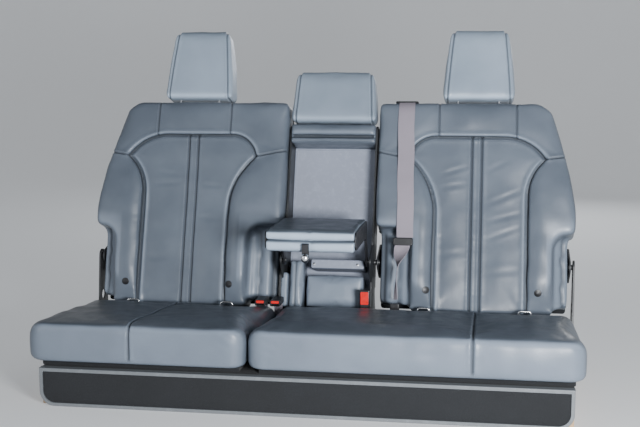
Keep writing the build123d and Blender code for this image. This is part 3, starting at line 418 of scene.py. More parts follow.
class Finish:
    """A node material that is built up socket by socket."""

    def __init__(self, name):
        self.material = bpy.data.materials.new(name)
        self.material.use_nodes = True
        self.tree = self.material.node_tree
        self.shader = self.tree.nodes["Principled BSDF"]
        self.place = self.add("ShaderNodeTexCoord").outputs["Object"]

    def add(self, kind, **settings):
        node = self.tree.nodes.new(kind)
        for key, value in settings.items():
            setattr(node, key, value)
        return node

    def link(self, output, target):
        self.tree.links.new(output, target)

    def stretched(self, stretch):
        if stretch is None:
            return self.place
        node = self.add("ShaderNodeMapping")
        node.inputs["Scale"].default_value = stretch
        self.link(self.place, node.inputs["Vector"])
        return node.outputs["Vector"]

    def noise(self, scale, detail=3.0, roughness=0.55, stretch=None):
        node = self.add("ShaderNodeTexNoise")
        node.inputs["Scale"].default_value = scale
        node.inputs["Detail"].default_value = detail
        node.inputs["Roughness"].default_value = roughness
        self.link(self.stretched(stretch), node.inputs["Vector"])
        return node.outputs["Fac"]

    def cells(self, scale, feature="F1", stretch=None):
        node = self.add("ShaderNodeTexVoronoi", feature=feature)
        node.inputs["Scale"].default_value = scale
        self.link(self.stretched(stretch), node.inputs["Vector"])
        return node.outputs["Distance"]

    def value(self, name):
        """A number kept on the piece's points."""
        return self.add("ShaderNodeAttribute", attribute_name=name).outputs["Fac"]

    def sum(self, operation, first, second=None, clamp=False):
        node = self.add("ShaderNodeMath", operation=operation, use_clamp=clamp)
        for socket, given in zip(node.inputs, (first, second)):
            if isinstance(given, (int, float)):
                socket.default_value = given
            elif given is not None:
                self.link(given, socket)
        return node.outputs["Value"]

    def spread(self, source, low, high, to_low=0.0, to_high=1.0):
        """Stretch a range of numbers over another."""
        node = self.add("ShaderNodeMapRange")
        self.link(source, node.inputs["Value"])
        ends = {"From Min": low, "From Max": high, "To Min": to_low, "To Max": to_high}
        for key, number in ends.items():
            node.inputs[key].default_value = number
        return node.outputs["Result"]

    def blend(self, share, first, second):
        """Mix two colours, each a tuple or a socket."""
        node = self.add("ShaderNodeMix", data_type="RGBA")
        self.link(share, node.inputs["Factor"])
        for name, given in (("A", first), ("B", second)):
            socket = next(s for s in node.inputs if s.name == name and s.type == "RGBA")
            if isinstance(given, tuple):
                socket.default_value = (*given, 1)
            else:
                self.link(given, socket)
        return next(s for s in node.outputs if s.type == "RGBA")

    def bump(self, height, depth, strength=1.0, below=None):
        """Raise the surface by depth metres where height is 1."""
        node = self.add("ShaderNodeBump")
        node.inputs["Strength"].default_value = strength
        node.inputs["Distance"].default_value = depth
        self.link(height, node.inputs["Height"])
        if below is not None:
            self.link(below, node.inputs["Normal"])
        return node.outputs["Normal"]

    def colour(self, source):
        self.link(source, self.shader.inputs["Base Color"])

    def roughness(self, source):
        self.link(source, self.shader.inputs["Roughness"])

    def normal(self, source):
        self.link(source, self.shader.inputs["Normal"])

    def set(self, **values):
        for name, value in values.items():
            self.shader.inputs[name.replace("_", " ")].default_value = value


def times(tone, share, more=0.0):
    """A paler or darker shade of a tone."""
    return tuple(min(1.0, c * share + more) for c in tone)


def stitch_mask(finish):
    """Short stitches in a row beside a seam, from the seam's own values."""
    across = finish.value("seam_across")
    along = finish.value("seam_along")
    row = finish.sum("ABSOLUTE", finish.sum("SUBTRACT", across, 0.0052))
    line = finish.spread(row, 0.0005, 0.0011, 1.0, 0.0)
    turn = finish.sum("FRACT", finish.sum("DIVIDE", along, 0.0056))
    gap = finish.sum("ABSOLUTE", finish.sum("SUBTRACT", turn, 0.5))
    dash = finish.spread(gap, 0.32, 0.40, 1.0, 0.0)
    return finish.sum("MULTIPLY", line, dash)


def leather(name, tone, shade):
    """Grained upholstery leather with stitched seams and tonal drift, painted highlights on ridges and fronts, and
    painted shade in seams and on tops.
    """
    finish = Finish(name)
    drift = finish.spread(finish.noise(4.0, 4.0), 0.35, 0.65)
    grain = finish.cells(520.0, "SMOOTH_F1")
    pores = finish.noise(2200.0, 2.0)
    folds = finish.noise(24.0, 5.0, 0.6, stretch=(1.0, 0.4, 0.4))
    crease = finish.value("crease")
    wear_and_painted_light = finish.value("wear_and_painted_light")
    # The dark colour that painted shade blends towards.
    dark = times(shade, 0.22)
    base = finish.blend(drift, shade, tone)
    # Painted light: ridges, rims and front faces that the pieces mark are painted paler, as highlights.
    base = finish.blend(finish.sum("MULTIPLY", wear_and_painted_light, 0.6, clamp=True), base, times(tone, 1.9))
    # Painted shade: tops, and the whole centre headrest, are painted darker where the pieces mark them.
    base = finish.blend(finish.value("painted_shade"), base, dark)
    # Painted shade: seams, grooves and pleat hollows are painted darker.
    base = finish.blend(finish.sum("MULTIPLY", crease, 0.85, clamp=True), base, dark)
    stitches = stitch_mask(finish)
    base = finish.blend(finish.sum("MULTIPLY", stitches, 0.55), base, times(tone, 1.3))
    finish.colour(base)
    rough = finish.spread(finish.noise(30.0, 4.0), 0.3, 0.7, 0.31, 0.43)
    finish.roughness(finish.sum("ADD", rough, finish.sum("MULTIPLY", crease, 0.25)))
    soft = finish.bump(folds, 0.0012, 0.25)
    fine = finish.bump(grain, 0.00028, 0.5, soft)
    finest = finish.bump(pores, 0.00010, 0.35, fine)
    finish.normal(finish.bump(stitches, 0.0008, 0.9, finest))
    finish.set(Specular_IOR_Level=0.36)
    return finish.material


def carpet(name, tone, shade):
    """Short cut-pile carpet: tufts, matted patches and pale lint."""
    finish = Finish(name)
    tufts = finish.noise(700.0, 3.0, 0.7)
    pile = finish.noise(140.0, 4.0, 0.7)
    matted = finish.noise(9.0, 4.0)
    lint = finish.spread(finish.cells(75.0), 0.0, 0.055, 1.0, 0.0)
    base = finish.blend(finish.spread(tufts, 0.3, 0.7), shade, tone)
    base = finish.blend(finish.spread(matted, 0.4, 0.7, 0.0, 0.45), base, shade)
    base = finish.blend(finish.sum("MULTIPLY", lint, 0.25), base, (0.16, 0.165, 0.17))
    finish.colour(base)
    finish.normal(finish.bump(tufts, 0.0016, 0.9, finish.bump(pile, 0.002, 0.6)))
    finish.set(Roughness=0.95, Sheen_Weight=0.04, Sheen_Roughness=0.6)
    return finish.material


def moulded(name, tone, roughness=0.45, texture=0.00012):
    """Moulded plastic with a fine spark-eroded skin and rubbed edges."""
    finish = Finish(name)
    skin = finish.noise(1500.0, 2.0)
    scuffs = finish.noise(60.0, 5.0, 0.7)
    wear_and_painted_light = times(tone, 1.5, 0.01)
    finish.colour(finish.blend(finish.spread(scuffs, 0.5, 0.8, 0.0, 0.5), tone, wear_and_painted_light))
    finish.roughness(finish.spread(scuffs, 0.3, 0.7, roughness - 0.07, roughness + 0.07))
    finish.normal(finish.bump(skin, texture, 0.7))
    return finish.material


def plated(name, tone, roughness):
    """Bright plated steel with fine hairlines."""
    finish = Finish(name)
    hairs = finish.noise(300.0, 2.0, 0.5, stretch=(1.0, 1.0, 0.05))
    stain = finish.noise(18.0, 4.0)
    dull = times(tone, 0.8)
    finish.colour(finish.blend(finish.spread(stain, 0.4, 0.7), tone, dull))
    finish.roughness(finish.spread(hairs, 0.3, 0.7, roughness, roughness + 0.12))
    finish.set(Metallic=1.0)
    return finish.material


def powder_coat(name, tone):
    """Powder-coated steel: orange peel, dust and rubbed edges."""
    finish = Finish(name)
    peel = finish.noise(420.0, 2.0)
    dust = finish.noise(14.0, 5.0, 0.65)
    grey = times(tone, 1.8, 0.02)
    finish.colour(finish.blend(finish.spread(dust, 0.5, 0.75, 0.0, 0.6), tone, grey))
    finish.roughness(finish.spread(dust, 0.3, 0.7, 0.38, 0.56))
    finish.normal(finish.bump(peel, 0.0002, 0.5))
    return finish.material


def plywood(name, light, dark):
    """Bare plywood: long grain, figure and handling marks."""
    finish = Finish(name)
    grain = finish.noise(26.0, 6.0, 0.65, stretch=(1.0, 14.0, 14.0))
    figure = finish.noise(6.0, 4.0, 0.6, stretch=(1.0, 5.0, 5.0))
    base = finish.blend(finish.spread(grain, 0.35, 0.65), dark, light)
    finish.colour(finish.blend(finish.spread(figure, 0.4, 0.6, 0.0, 0.4), base, dark))
    finish.normal(finish.bump(grain, 0.0004, 0.5))
    finish.set(Roughness=0.7)
    return finish.material


def belt_weave(name, tone, shade):
    """Tight belt webbing: lengthwise ribs crossed by fine yarns."""
    finish = Finish(name)
    ribs = finish.add("ShaderNodeTexWave", wave_type="BANDS", bands_direction="X")
    ribs.inputs["Scale"].default_value = 110.0
    yarns = finish.add("ShaderNodeTexWave", wave_type="BANDS", bands_direction="Z")
    yarns.inputs["Scale"].default_value = 240.0
    yarns.inputs["Distortion"].default_value = 0.4
    for bands in (ribs, yarns):
        finish.link(finish.place, bands.inputs["Vector"])
    weave = finish.sum("MULTIPLY", ribs.outputs["Fac"], yarns.outputs["Fac"])
    drift = finish.noise(22.0, 3.0)
    base = finish.blend(weave, shade, tone)
    finish.colour(finish.blend(finish.spread(drift, 0.4, 0.7, 0.0, 0.3), base, shade))
    finish.normal(finish.bump(weave, 0.00035, 0.8))
    finish.set(Roughness=0.6, Sheen_Weight=0.2, Sheen_Roughness=0.4)
    return finish.material


FINISHES = {
    "carpet": carpet("carpet", (0.0120, 0.0135, 0.0165), (0.0050, 0.0056, 0.0068)),
    "edging": moulded("edging", (0.125, 0.135, 0.145), 0.45),
    "board": plywood("board", (0.56, 0.40, 0.24), (0.36, 0.23, 0.12)),
    "steel": powder_coat("steel", (0.016, 0.017, 0.019)),
    "leather": leather("leather", (0.121, 0.144, 0.178), (0.084, 0.101, 0.127)),
    "leather_light": leather("leather_light", (0.285, 0.345, 0.420), (0.232, 0.282, 0.348)),
    "black_plastic": moulded("black_plastic", (0.010, 0.010, 0.012), 0.42),
    "grey_plastic": moulded("grey_plastic", (0.225, 0.248, 0.310), 0.5),
    "red_plastic": moulded("red_plastic", (0.62, 0.012, 0.010), 0.3, 0.00004),
    "bright_steel": plated("bright_steel", (0.72, 0.73, 0.75), 0.16),
    "webbing": belt_weave("webbing", (0.345, 0.305, 0.355), (0.215, 0.19, 0.225)),
}
WORKED_EDGES = {
    # radius of a metal or board piece's edges: the CAD nodes that have it
    0.0006: ["buckle_buttons"],
    0.0010: ["centre_plate_left", "centre_plate_right", "side_brackets", "floor_brackets"]
    + ["back_left_hinges", "back_right_hinges"],
    0.0012: ["armrest_latch", "riser_boards"],
    0.0014: ["armrest_arms", "belt_anchor"],
    0.0015: ["buckle_bodies", "riser_rear_rail"],
    0.0020: ["riser_kick_panel"],
    0.0025: ["riser_deck", "cushion_boards", "centre_back_panel"],
}


def finish_cad_nodes():
    """Each CAD node gets the finish of its slot, and those listed in WORKED_EDGES get softly worked edges."""
    slots = {row["node"]: row["material_slot"] for row in frame["record"]["subparts"]}
    for node, piece in NODES.items():
        piece.data.materials.clear()
        piece.data.materials.append(FINISHES[slots[node]])
    for radius, nodes in WORKED_EDGES.items():
        for node in nodes:
            weld = NODES[node].modifiers.new("weld", "WELD")
            weld.merge_threshold = 1e-5
            edges = NODES[node].modifiers.new("worked edges", "BEVEL")
            edges.width = radius
            edges.segments = 2
            edges.limit_method = "ANGLE"
            edges.angle_limit = radians(40)


# The outer backs

def insert_edge():
    """The insert's outline: up one side, round the arch and down the other."""
    inner = (INSERT_INNER_X, INNER_WAIST)
    outer = (INSERT_OUTER_X, OUTER_WAIST)
    arch_start = (INSERT_INNER_X, INSERT_TOP)
    arch_end = (ARCH_OUTER_X, INSERT_TOP)
    return joined(
        straight((INSERT_INNER_X, BACK_FOOT), inner),
        bend(inner, INNER_EAR, (0, 1)),
        bend(arch_start, INNER_EAR, (-1, 0))[::-1],
        straight(arch_start, arch_end),
        bend(arch_end, OUTER_EAR, (1, 0)),
        bend(outer, OUTER_EAR, (0, 1))[::-1],
        straight(outer, (INSERT_OUTER_X, BACK_FOOT)),
    )


INSERT_EDGE = insert_edge()
STRIP_SEAMS = [straight((x, BACK_FOOT), (x, INSERT_TOP)) for x in STRIP_X]
YOKE_SEAMS = [
    straight((YOKE_SEAM_X[0], INSERT_TOP), (YOKE_SEAM_X[0], BACK_TOP + 0.03)),
    straight((YOKE_SEAM_X[1], INSERT_TOP - 0.006), (YOKE_SEAM_X[1], BACK_TOP + 0.03)),
    straight(INNER_EAR, (BACK_INNER_X - 0.01, EAR_SEAM_S)),
    straight(OUTER_EAR, (BACK_OUTER_X, 0.445)),
]


def near_posts(points):
    """True round the headrest's posts, where the cover keeps its holes."""
    close = np.zeros(len(points), bool)
    for side in (-1, 1):
        x = PLACE_X + side * POST_HALF_SPACING
        close |= np.hypot(points[:, 0] - x, points[:, 2] - POST_N) < 0.017
    return close


def rolled_bolsters(piece):
    """Turn the insert's upright wall into the round flank of a padded bolster."""
    points, normals = surface_of(piece)
    flat = points[:, :2]
    gap, _, nearest = near_seam(flat, INSERT_EDGE)
    outside = ~inside_path(flat, INSERT_EDGE)
    heights, rises = zip(*BOLSTER_FRONT)
    rise = np.interp(flat[:, 1], heights, rises)
    flank = np.clip(1.1 * rise, 0.013, BOLSTER_FLANK)
    on_wall = (points[:, 2] > 0.001) & (gap < 0.0045) & (np.abs(normals[:, 2]) < 0.80)
    on_front = outside & ~on_wall & (gap < flank) & (normals[:, 2] > 0.5)
    slant = np.maximum(np.linalg.norm(normals[:, :2], axis=1), 1e-6)
    sideways = -normals[:, :2] / slant[:, None]
    outward = (flat - nearest) / np.maximum(gap, 1e-6)[:, None]
    away = np.where(on_wall[:, None], sideways, outward)
    climb = np.where(on_wall, np.clip(points[:, 2], 0, rise), rise + gap)
    angle = climb / (rise + flank) * pi / 2
    turned = nearest + away * (flank * (1 - np.cos(angle)))[:, None]
    moving = on_wall | on_front
    points[moving, :2] = turned[moving]
    points[moving, 2] = (rise * np.sin(angle))[moving]
    move_to(piece, points)
    smoothed(piece, np.where(gap < 0.045, 0.4, 0.0), 4)


def pleats(points):
    """Relief, painted shade and painted highlights of the gathered pleats in the low pockets beside the hinges."""
    x = points[:, 0]
    low = soft_step(points[:, 2], 0.030, 0.012) * soft_step(points[:, 1], 0.225, 0.195)
    inner = low * soft_step(x, 0.246, 0.238)
    outer = low * soft_step(x, 0.636, 0.644)
    wander = 0.0022 * np.sin(points[:, 1] / 0.013) + 0.0012 * np.sin(points[:, 1] / 0.0061)
    depth = inner * (0.0045 * hollow(x - 0.205 - wander, 0.0035) + 0.008 * hollow(x - 0.162, 0.007))
    depth += outer * 0.0055 * hollow(x - 0.668 - wander, 0.0045)
    crown = inner * (hollow(x - 0.224, 0.011) + hollow(x - 0.184, 0.011))
    crown += 0.6 * outer * (hollow(x - 0.652, 0.010) + hollow(x - 0.686, 0.009))
    beside = (x < 0.262) | (x > 0.620)
    rim = beside * hollow(points[:, 2] - 0.0325, 0.0035) * soft_step(points[:, 1], 0.265, 0.235)
    rim *= soft_step(points[:, 1], 0.010, 0.060)
    # Painted highlights: the low pockets, the pleats' crowns and the pocket's rolled rim are painted paler.
    shine = 0.45 * (inner + outer) + 0.5 * crown + 0.8 * rim
    # The second value is painted shade, darker where the pleats are deepest; the third is painted highlights.
    return 0.006 * crown - depth, np.clip(depth / 0.006, 0, 1), shine


def seam_gaps(points):
    """How far each point lies from the insert's edge, and from the back's other seams."""
    flat = points[:, :2]
    return near_seam(flat, INSERT_EDGE)[0], nearest_seam(flat, STRIP_SEAMS + YOKE_SEAMS)[0]


def outer_back():
    """The right back's cover before it is sewn: bolsters, yoke and a padded insert."""
    piece = soft_copy("back_right_pad", "back_right_cover", 0.0055, LEAN)
    rolled_bolsters(piece)
    points = points_of(piece)
    gap, _ = seam_gaps(points)
    free = ~near_posts(points) & (points[:, 1] > 0.0)
    rounding = soft_step(gap, 0.024, 0.044) * soft_step(points[:, 2], -0.060, -0.035) * free
    rounding *= np.where(points[:, 1] > SOFT_TOP, 0.3, 1.0)
    smoothed(piece, 0.5 * rounding, 26)
    smoothed(piece, np.where(free, 0.35, 0.0), 4)
    points = points_of(piece)
    gap, seam_gap = seam_gaps(points)
    in_front = points[:, 2] > -0.015
    on_panel = 1.0 * (points[:, 2] < -0.070)
    edge = in_front * (1 - soft_step(gap, 0.002, 0.010))
    seam = 0.9 * in_front * (1 - soft_step(seam_gap, 0.002, 0.009))
    pocket = (points[:, 1] < POCKET_TOP) & ((points[:, 0] < 0.240) | (points[:, 0] > 0.642))
    posts = near_posts(points)
    swollen(piece, np.maximum.reduce([on_panel, edge, seam, posts, 0.8 * pocket]), 0.009)
    return piece


def sewn_back(piece, creases, seed):
    """Sew the seams, gathers and folds into the swollen cover."""
    for reach in (0.016, 0.009):
        points, normals = surface_of(piece)
        refined(piece, (np.minimum(*seam_gaps(points)) < reach) & (normals[:, 2] > -0.2))
    points, normals = surface_of(piece)
    flat = points[:, :2]
    front = soft_step(normals[:, 2], 0.0, 0.5)
    gap, along, _ = near_seam(flat, INSERT_EDGE)
    strip_gap, strip_along = nearest_seam(flat, STRIP_SEAMS)
    yoke_gap, yoke_along = nearest_seam(flat, YOKE_SEAMS)
    inside = inside_path(flat, INSERT_EDGE)
    strip_gap = np.where(inside, strip_gap, 1.0)
    yoke_gap = np.where(inside, 1.0, yoke_gap)
    flanked = soft_step(flat[:, 1], RIM_TURN_S[1], RIM_TURN_S[0])
    rim = np.where(inside, 0.0012 + 0.0026 * flanked, 0.0038 - 0.0026 * flanked)
    lift = sewn_line(gap, 0.0062, 0.0036, rim, 0.0095, 0.0046)
    lift += sewn_line(strip_gap, 0.0052, 0.0032, 0.0014, 0.0078, 0.0040)
    lift += sewn_line(yoke_gap, 0.0030, 0.0028, 0.0008, 0.0065, 0.0035)
    lift += 0.0011 * pucker(along, gap, seed) + 0.0008 * pucker(strip_along, strip_gap, seed + 5)
    lift += 0.0009 * pucker(yoke_along, yoke_gap, seed + 9)
    lift += crease_field(flat, creases)
    lift += 0.0010 * ripple(points, 0.055, seed) + 0.0016 * ripple(points, 0.140, seed + 3)
    fold, fold_shade, fold_shine = pleats(points)
    lift += fold
    move_to(piece, points + normals * (lift * front)[:, None])
    smoothed(piece, 0.25, 2)
    # Painted shade: the seams' grooves and the pleats' hollows are marked to be painted darker.
    crease = hollow(gap, 0.0030) + hollow(strip_gap, 0.0024) + 0.8 * hollow(yoke_gap, 0.0020)
    across, length = gap, along
    for other, other_along in ((strip_gap, strip_along), (yoke_gap, yoke_along)):
        length = np.where(other < across, other_along, length)
        across = np.minimum(across, other)
    crease = np.maximum(crease, 0.8 * fold_shade)
    # Painted highlights: the rolled rims beside the insert's seam and the pleats' crowns and pocket rims are
    # marked to be painted paler.
    wear_and_painted_light = np.where(inside, flanked, 1 - flanked) * hollow(gap - 0.0095, 0.0045) * front
    wear_and_painted_light += fold_shine * front
    sewing_values(piece, crease * front, np.where(front > 0.3, across, 1.0), length, wear_and_painted_light)


RIGHT_CREASES = [
    # start, end, depth, width
    ((0.318, 0.384), (0.402, 0.412), -0.0017, 0.0055),
    ((0.314, 0.345), (0.398, 0.360), -0.0012, 0.0060),
    ((0.444, 0.296), (0.558, 0.345), -0.0016, 0.0065),
    ((0.448, 0.248), (0.562, 0.278), -0.0013, 0.0060),
    ((0.446, 0.196), (0.560, 0.240), -0.0011, 0.0060),
    ((0.446, 0.395), (0.520, 0.430), -0.0012, 0.0060),
    ((0.310, 0.150), (0.400, 0.160), -0.0009, 0.0080),
    ((0.445, 0.100), (0.560, 0.112), -0.0010, 0.0080),
    ((0.160, 0.290), (0.262, 0.302), -0.0009, 0.0100),
    ((0.180, 0.395), (0.235, 0.380), -0.0008, 0.0070),
]
LEFT_CREASES = [
    ((0.318, 0.340), (0.396, 0.345), -0.0016, 0.0055),
    ((0.450, 0.352), (0.548, 0.344), -0.0016, 0.0060),
    ((0.452, 0.374), (0.530, 0.382), -0.0012, 0.0060),
    ((0.312, 0.240), (0.400, 0.246), -0.0009, 0.0080),
    ((0.450, 0.130), (0.560, 0.120), -0.0010, 0.0090),
    ((0.160, 0.255), (0.270, 0.268), -0.0008, 0.0100),
]


def mirrored(piece, name):
    """The same pad for the other side."""
    bm = bmesh.new()
    bm.from_mesh(piece.data)
    bmesh.ops.scale(bm, vec=(-1, 1, 1), verts=bm.verts)
    bpy.data.objects.remove(piece)
    return new_piece(name, bm)


def make_backs():
    right = outer_back()
    left = bpy.data.objects.new("unsewn_left", right.data.copy())
    scene.collection.objects.link(left)
    sewn_back(right, RIGHT_CREASES, seed=1)
    sewn_back(left, LEFT_CREASES, seed=2)
    left = mirrored(left, "back_left_cover")
    for side, piece in (("left", left), ("right", right)):
        placed(piece, LEAN)
        dressed(piece, f"back_{side}", "leather", f"back_{side}_pad")
    return left, right


# The cushions

NOSE_CREASES = {
    # (x, height) of each fold's two ends, on the cushions' front faces
    "left": [
        ((-0.205, 0.196), (-0.165, 0.168), -0.0014, 0.0050),
        ((-0.185, 0.210), (-0.150, 0.190), -0.0012, 0.0050),
        ((-0.400, 0.190), (-0.300, 0.196), -0.0008, 0.0070),
    ],
    "right": [
        ((-0.098, 0.200), (-0.035, 0.178), -0.0014, 0.0050),
        ((-0.095, 0.176), (-0.045, 0.160), -0.0012, 0.0050),
        ((0.040, 0.196), (0.180, 0.190), -0.0009, 0.0070),
        ((0.230, 0.172), (0.380, 0.180), -0.0008, 0.0070),
    ],
}


def squared_nose(piece, front_y, top_z):
    """Fill the cushion's rounded front edge out towards its corner, as firm foam stands."""
    points = points_of(piece)
    forward = (front_y + NOSE_RADIUS - points[:, 1]) / NOSE_RADIUS
    upward = (points[:, 2] - top_z + NOSE_RADIUS) / NOSE_RADIUS
    on_nose = (forward > 0) & (upward > 0)
    reach = np.hypot(forward, upward)
    angle = np.arctan2(upward, forward)
    fuller = (np.abs(np.cos(angle)) ** 3 + np.abs(np.sin(angle)) ** 3) ** (-1 / 3)
    grown = np.where(on_nose, (fuller - 1) * np.clip(reach, 0, 1) ** 2, 0) * NOSE_RADIUS
    points[:, 1] -= forward * grown
    points[:, 2] += upward * grown
    move_to(piece, points)


def make_cushion(side, seam_x, seed):
    """A seat cushion: crowned top, rolled nose, and a joint sewn over front and top."""
    node = f"cushion_{side}"
    low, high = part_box(node)
    piece = soft_copy(node, f"{node}_cover", 0.006)
    squared_nose(piece, low.y, high.z)
    smoothed(piece, 0.4, 3)
    points = points_of(piece)
    on_board = 1 - soft_step(points[:, 2], low.z + 0.003, low.z + 0.014)
    seam = 1 - soft_step(np.abs(points[:, 0] - seam_x), 0.002, 0.010)
    rear = soft_step(points[:, 1], high.y - 0.02, high.y - 0.004)
    edge = 0.5 * np.exp(-np.hypot(points[:, 1] - low.y, points[:, 2] - high.z) / 0.030)
    held = np.maximum.reduce([on_board, 0.92 * seam, rear, edge])
    swollen(piece, held, 0.010)
    for reach in (0.018, 0.010):
        points = points_of(piece)
        refined(piece, (np.abs(points[:, 0] - seam_x) < reach) & (points[:, 2] > low.z + 0.01))
    points, normals = surface_of(piece)
    gap = np.abs(points[:, 0] - seam_x)
    along = points[:, 1] - points[:, 2]
    above = soft_step(points[:, 2], low.z + 0.004, low.z + 0.016)
    front = soft_step(-normals[:, 1], 0.15, 0.75)
    lift = sewn_line(gap, 0.0048, 0.0032, 0.0012, 0.0080, 0.0042)
    lift += 0.0010 * pucker(along, gap, seed)
    lift += front * crease_field(points[:, ::2], NOSE_CREASES[side])
    lift += 0.0012 * ripple(points, 0.060, seed) + 0.0020 * ripple(points, 0.160, seed + 4)
    move_to(piece, points + normals * (lift * above)[:, None])
    smoothed(piece, 0.25, 2)
    placed(piece)
    normals = normals_of(piece)
    forward = soft_step(-normals[:, 1], 0.30, 0.60)
    # Painted light: the front face is painted paler, with a painted highlight along the nose.
    pale = forward * (0.40 + 0.45 * hollow(normals[:, 2] - 0.55, 0.17))
    # Painted shade: the top is painted darker.
    on_top = 0.5 * soft_step(normals[:, 2], 0.75, 0.95)
    # The seam's groove is painted darker, as painted shade.
    sewing_values(piece, above * hollow(gap, 0.0026), gap, along, pale, on_top)
    dressed(piece, "base", "leather", node)


# The headrests and the centre column's pads

def make_headrest(name, taper, seed, painted_shade=0.0):
    """A headrest: a flat face between two upright seams, and gussets that turn back from them."""
    node = f"headrest_{name}_pad"
    piece = soft_copy(node, f"headrest_{name}_cover", 0.004, LEAN)
    smoothed(piece, 0.4, 3)
    points = points_of(piece)
    low, high = points.min(axis=0), points.max(axis=0)
    centre_x = (low[0] + high[0]) / 2
    half = (high[0] - low[0]) / 2

    def narrowing(points):
        up = np.clip((points[:, 1] - low[1]) / (high[1] - low[1]), 0, 1)
        return 1 - taper * up**1.3

    def seam_gap(points):
        seam_x = half * narrowing(points) - GUSSET_WIDTH
        return np.abs(np.abs(points[:, 0] - centre_x) - seam_x)

    points[:, 0] = centre_x + (points[:, 0] - centre_x) * narrowing(points)
    move_to(piece, points)
    in_front = points[:, 2] > high[2] - 0.060
    foot = 1 - soft_step(points[:, 1], low[1] + 0.002, low[1] + 0.010)
    sewn = in_front * (1 - soft_step(seam_gap(points), 0.002, 0.006))
    swollen(piece, 0.9 * np.maximum(foot, sewn), 0.006)
    for reach in (0.010, 0.006):
        facing_out = normals_of(piece)[:, 2] > -0.3
        refined(piece, (seam_gap(points_of(piece)) < reach) & facing_out)
    points, normals = surface_of(piece)
    gap = seam_gap(points)
    front = soft_step(normals[:, 2], -0.25, 0.10)
    lift = front * sewn_line(gap, 0.0034, 0.0024, 0.0011, 0.0062, 0.0034)
    lift += front * 0.0008 * pucker(points[:, 1], gap, seed)
    lift += 0.0008 * ripple(points, 0.060, seed)
    points += normals * lift[:, None]
    move_to(piece, points)
    smoothed(piece, 0.2, 2)
    across = np.where(front > 0.2, gap, 1.0)
    facing_out = soft_step(normals[:, 2], 0.1, 0.5)
    # Painted highlight: a pale band along the face's lower edge.
    pale = 0.7 * facing_out * hollow(points[:, 1] - low[1] - 0.009, 0.0055)
    # Painted shade in the seams' grooves, and the given share of painted shade over the whole cover.
    sewing_values(piece, front * hollow(gap, 0.0020), across, points[:, 1], pale, painted_shade)
    placed(piece, LEAN)
    dressed(piece, f"headrest_{name}", "leather_light", node)


def make_column_pads():
    """The two rolls under the centre headrest, and the pads under the armrest."""
    for node, cell, cap in (("centre_rolls", 0.003, 0.003), ("centre_lower_pads", 0.0035, 0.005)):
        rolls = node == "centre_rolls"
        plugs = []
        if rolls:
            places = [(side * POST_HALF_SPACING, ROLLS_FOOT + 0.003, POST_N) for side in (-1, 1)]
            plugs = [(place, 0.0115, 0.008) for place in places]
        piece = soft_copy(node, f"{node}_cover", cell, LEAN, plugs)
        smoothed(piece, 0.4, 3)
        points = points_of(piece)
        held = 1 - soft_step(points[:, 2], -0.070, -0.040)
        groove = hollow(points[:, 1] - ROLLS_GROOVE, 0.0045) * rolls
        swollen(piece, np.maximum(held, groove), cap)
        points, normals = surface_of(piece)
        front = soft_step(normals[:, 2], 0.1, 0.5)
        groove = hollow(points[:, 1] - ROLLS_GROOVE, 0.0030) * front * rolls
        gather = hollow(points[:, 0] - SIDE_PAD_FOLD_X, 0.0026) * front * (not rolls)
        lift = 0.0007 * ripple(points, 0.040, 6) - 0.0095 * groove - 0.0035 * gather
        move_to(piece, points + normals * lift[:, None])
        # Painted highlight along the upper roll's crown; the low pads' whole front is painted paler, as painted
        # light.
        crown = 0.7 * hollow(points[:, 1] - ROLLS_CROWN, 0.0050) * rolls + (not rolls)
        # The groove and the fold are painted darker, as painted shade.
        sewing_values(piece, groove + gather, wear_and_painted_light=crown * front)
        placed(piece, LEAN)
        dressed(piece, "base", "leather", node)


def make_gaiter():
    """The soft gaiter over the low end of the column's left plate, beside the low pads."""
    bm = box_between(*GAITER)
    ease_edges(bm, bm.edges, 0.007, 4)
    piece = evenly_meshed(new_piece("column_gaiter", bm), 0.0025)
    smoothed(piece, 0.4, 3)
    points, normals = surface_of(piece)
    front = soft_step(normals[:, 2], 0.1, 0.5)
    lift = 0.0008 * ripple(points, 0.030, 9) * front
    move_to(piece, points + normals * lift[:, None])
    # Painted light: the gaiter's front is painted paler.
    sewing_values(piece, wear_and_painted_light=front)
    placed(piece, LEAN)
    dressed(piece, "base", "leather")


def make_armrest():
    for part, seed in (("body", 7), ("lid", 8)):
        node = f"armrest_{part}"
        piece = soft_copy(node, f"{node}_cover", 0.0035)
        smoothed(piece, 0.4, 4)
        points = points_of(piece)
        swollen(piece, soft_step(points[:, 1], -0.060, -0.035), 0.003, pressure=3.0)
        points, normals = surface_of(piece)
        move_to(piece, points + normals * (0.0005 * ripple(points, 0.045, seed))[:, None])
        normals = normals_of(piece)
        # Painted shade: the top is painted darker.
        on_top = 0.9 * soft_step(normals[:, 2], 0.35, 0.75)
        # Painted light: the front is painted paler.
        pale = 0.4 * soft_step(-normals[:, 1], 0.4, 0.8)
        sewing_values(piece, wear_and_painted_light=pale, painted_shade=on_top)
        placed(piece)
        dressed(piece, "armrest", "leather_light", node)


# The centre belt

BELT_X = 0.216
BELT_WIDTH = 0.047
BELT_THICK = 0.0014
BEZEL_TOP = 0.606
BELT_SLOT_N = -0.014
TONGUE_TOP = 0.193
TONGUE_LOW = 0.171
TONGUE_X = 0.219
BELT_LOW_X = 0.225


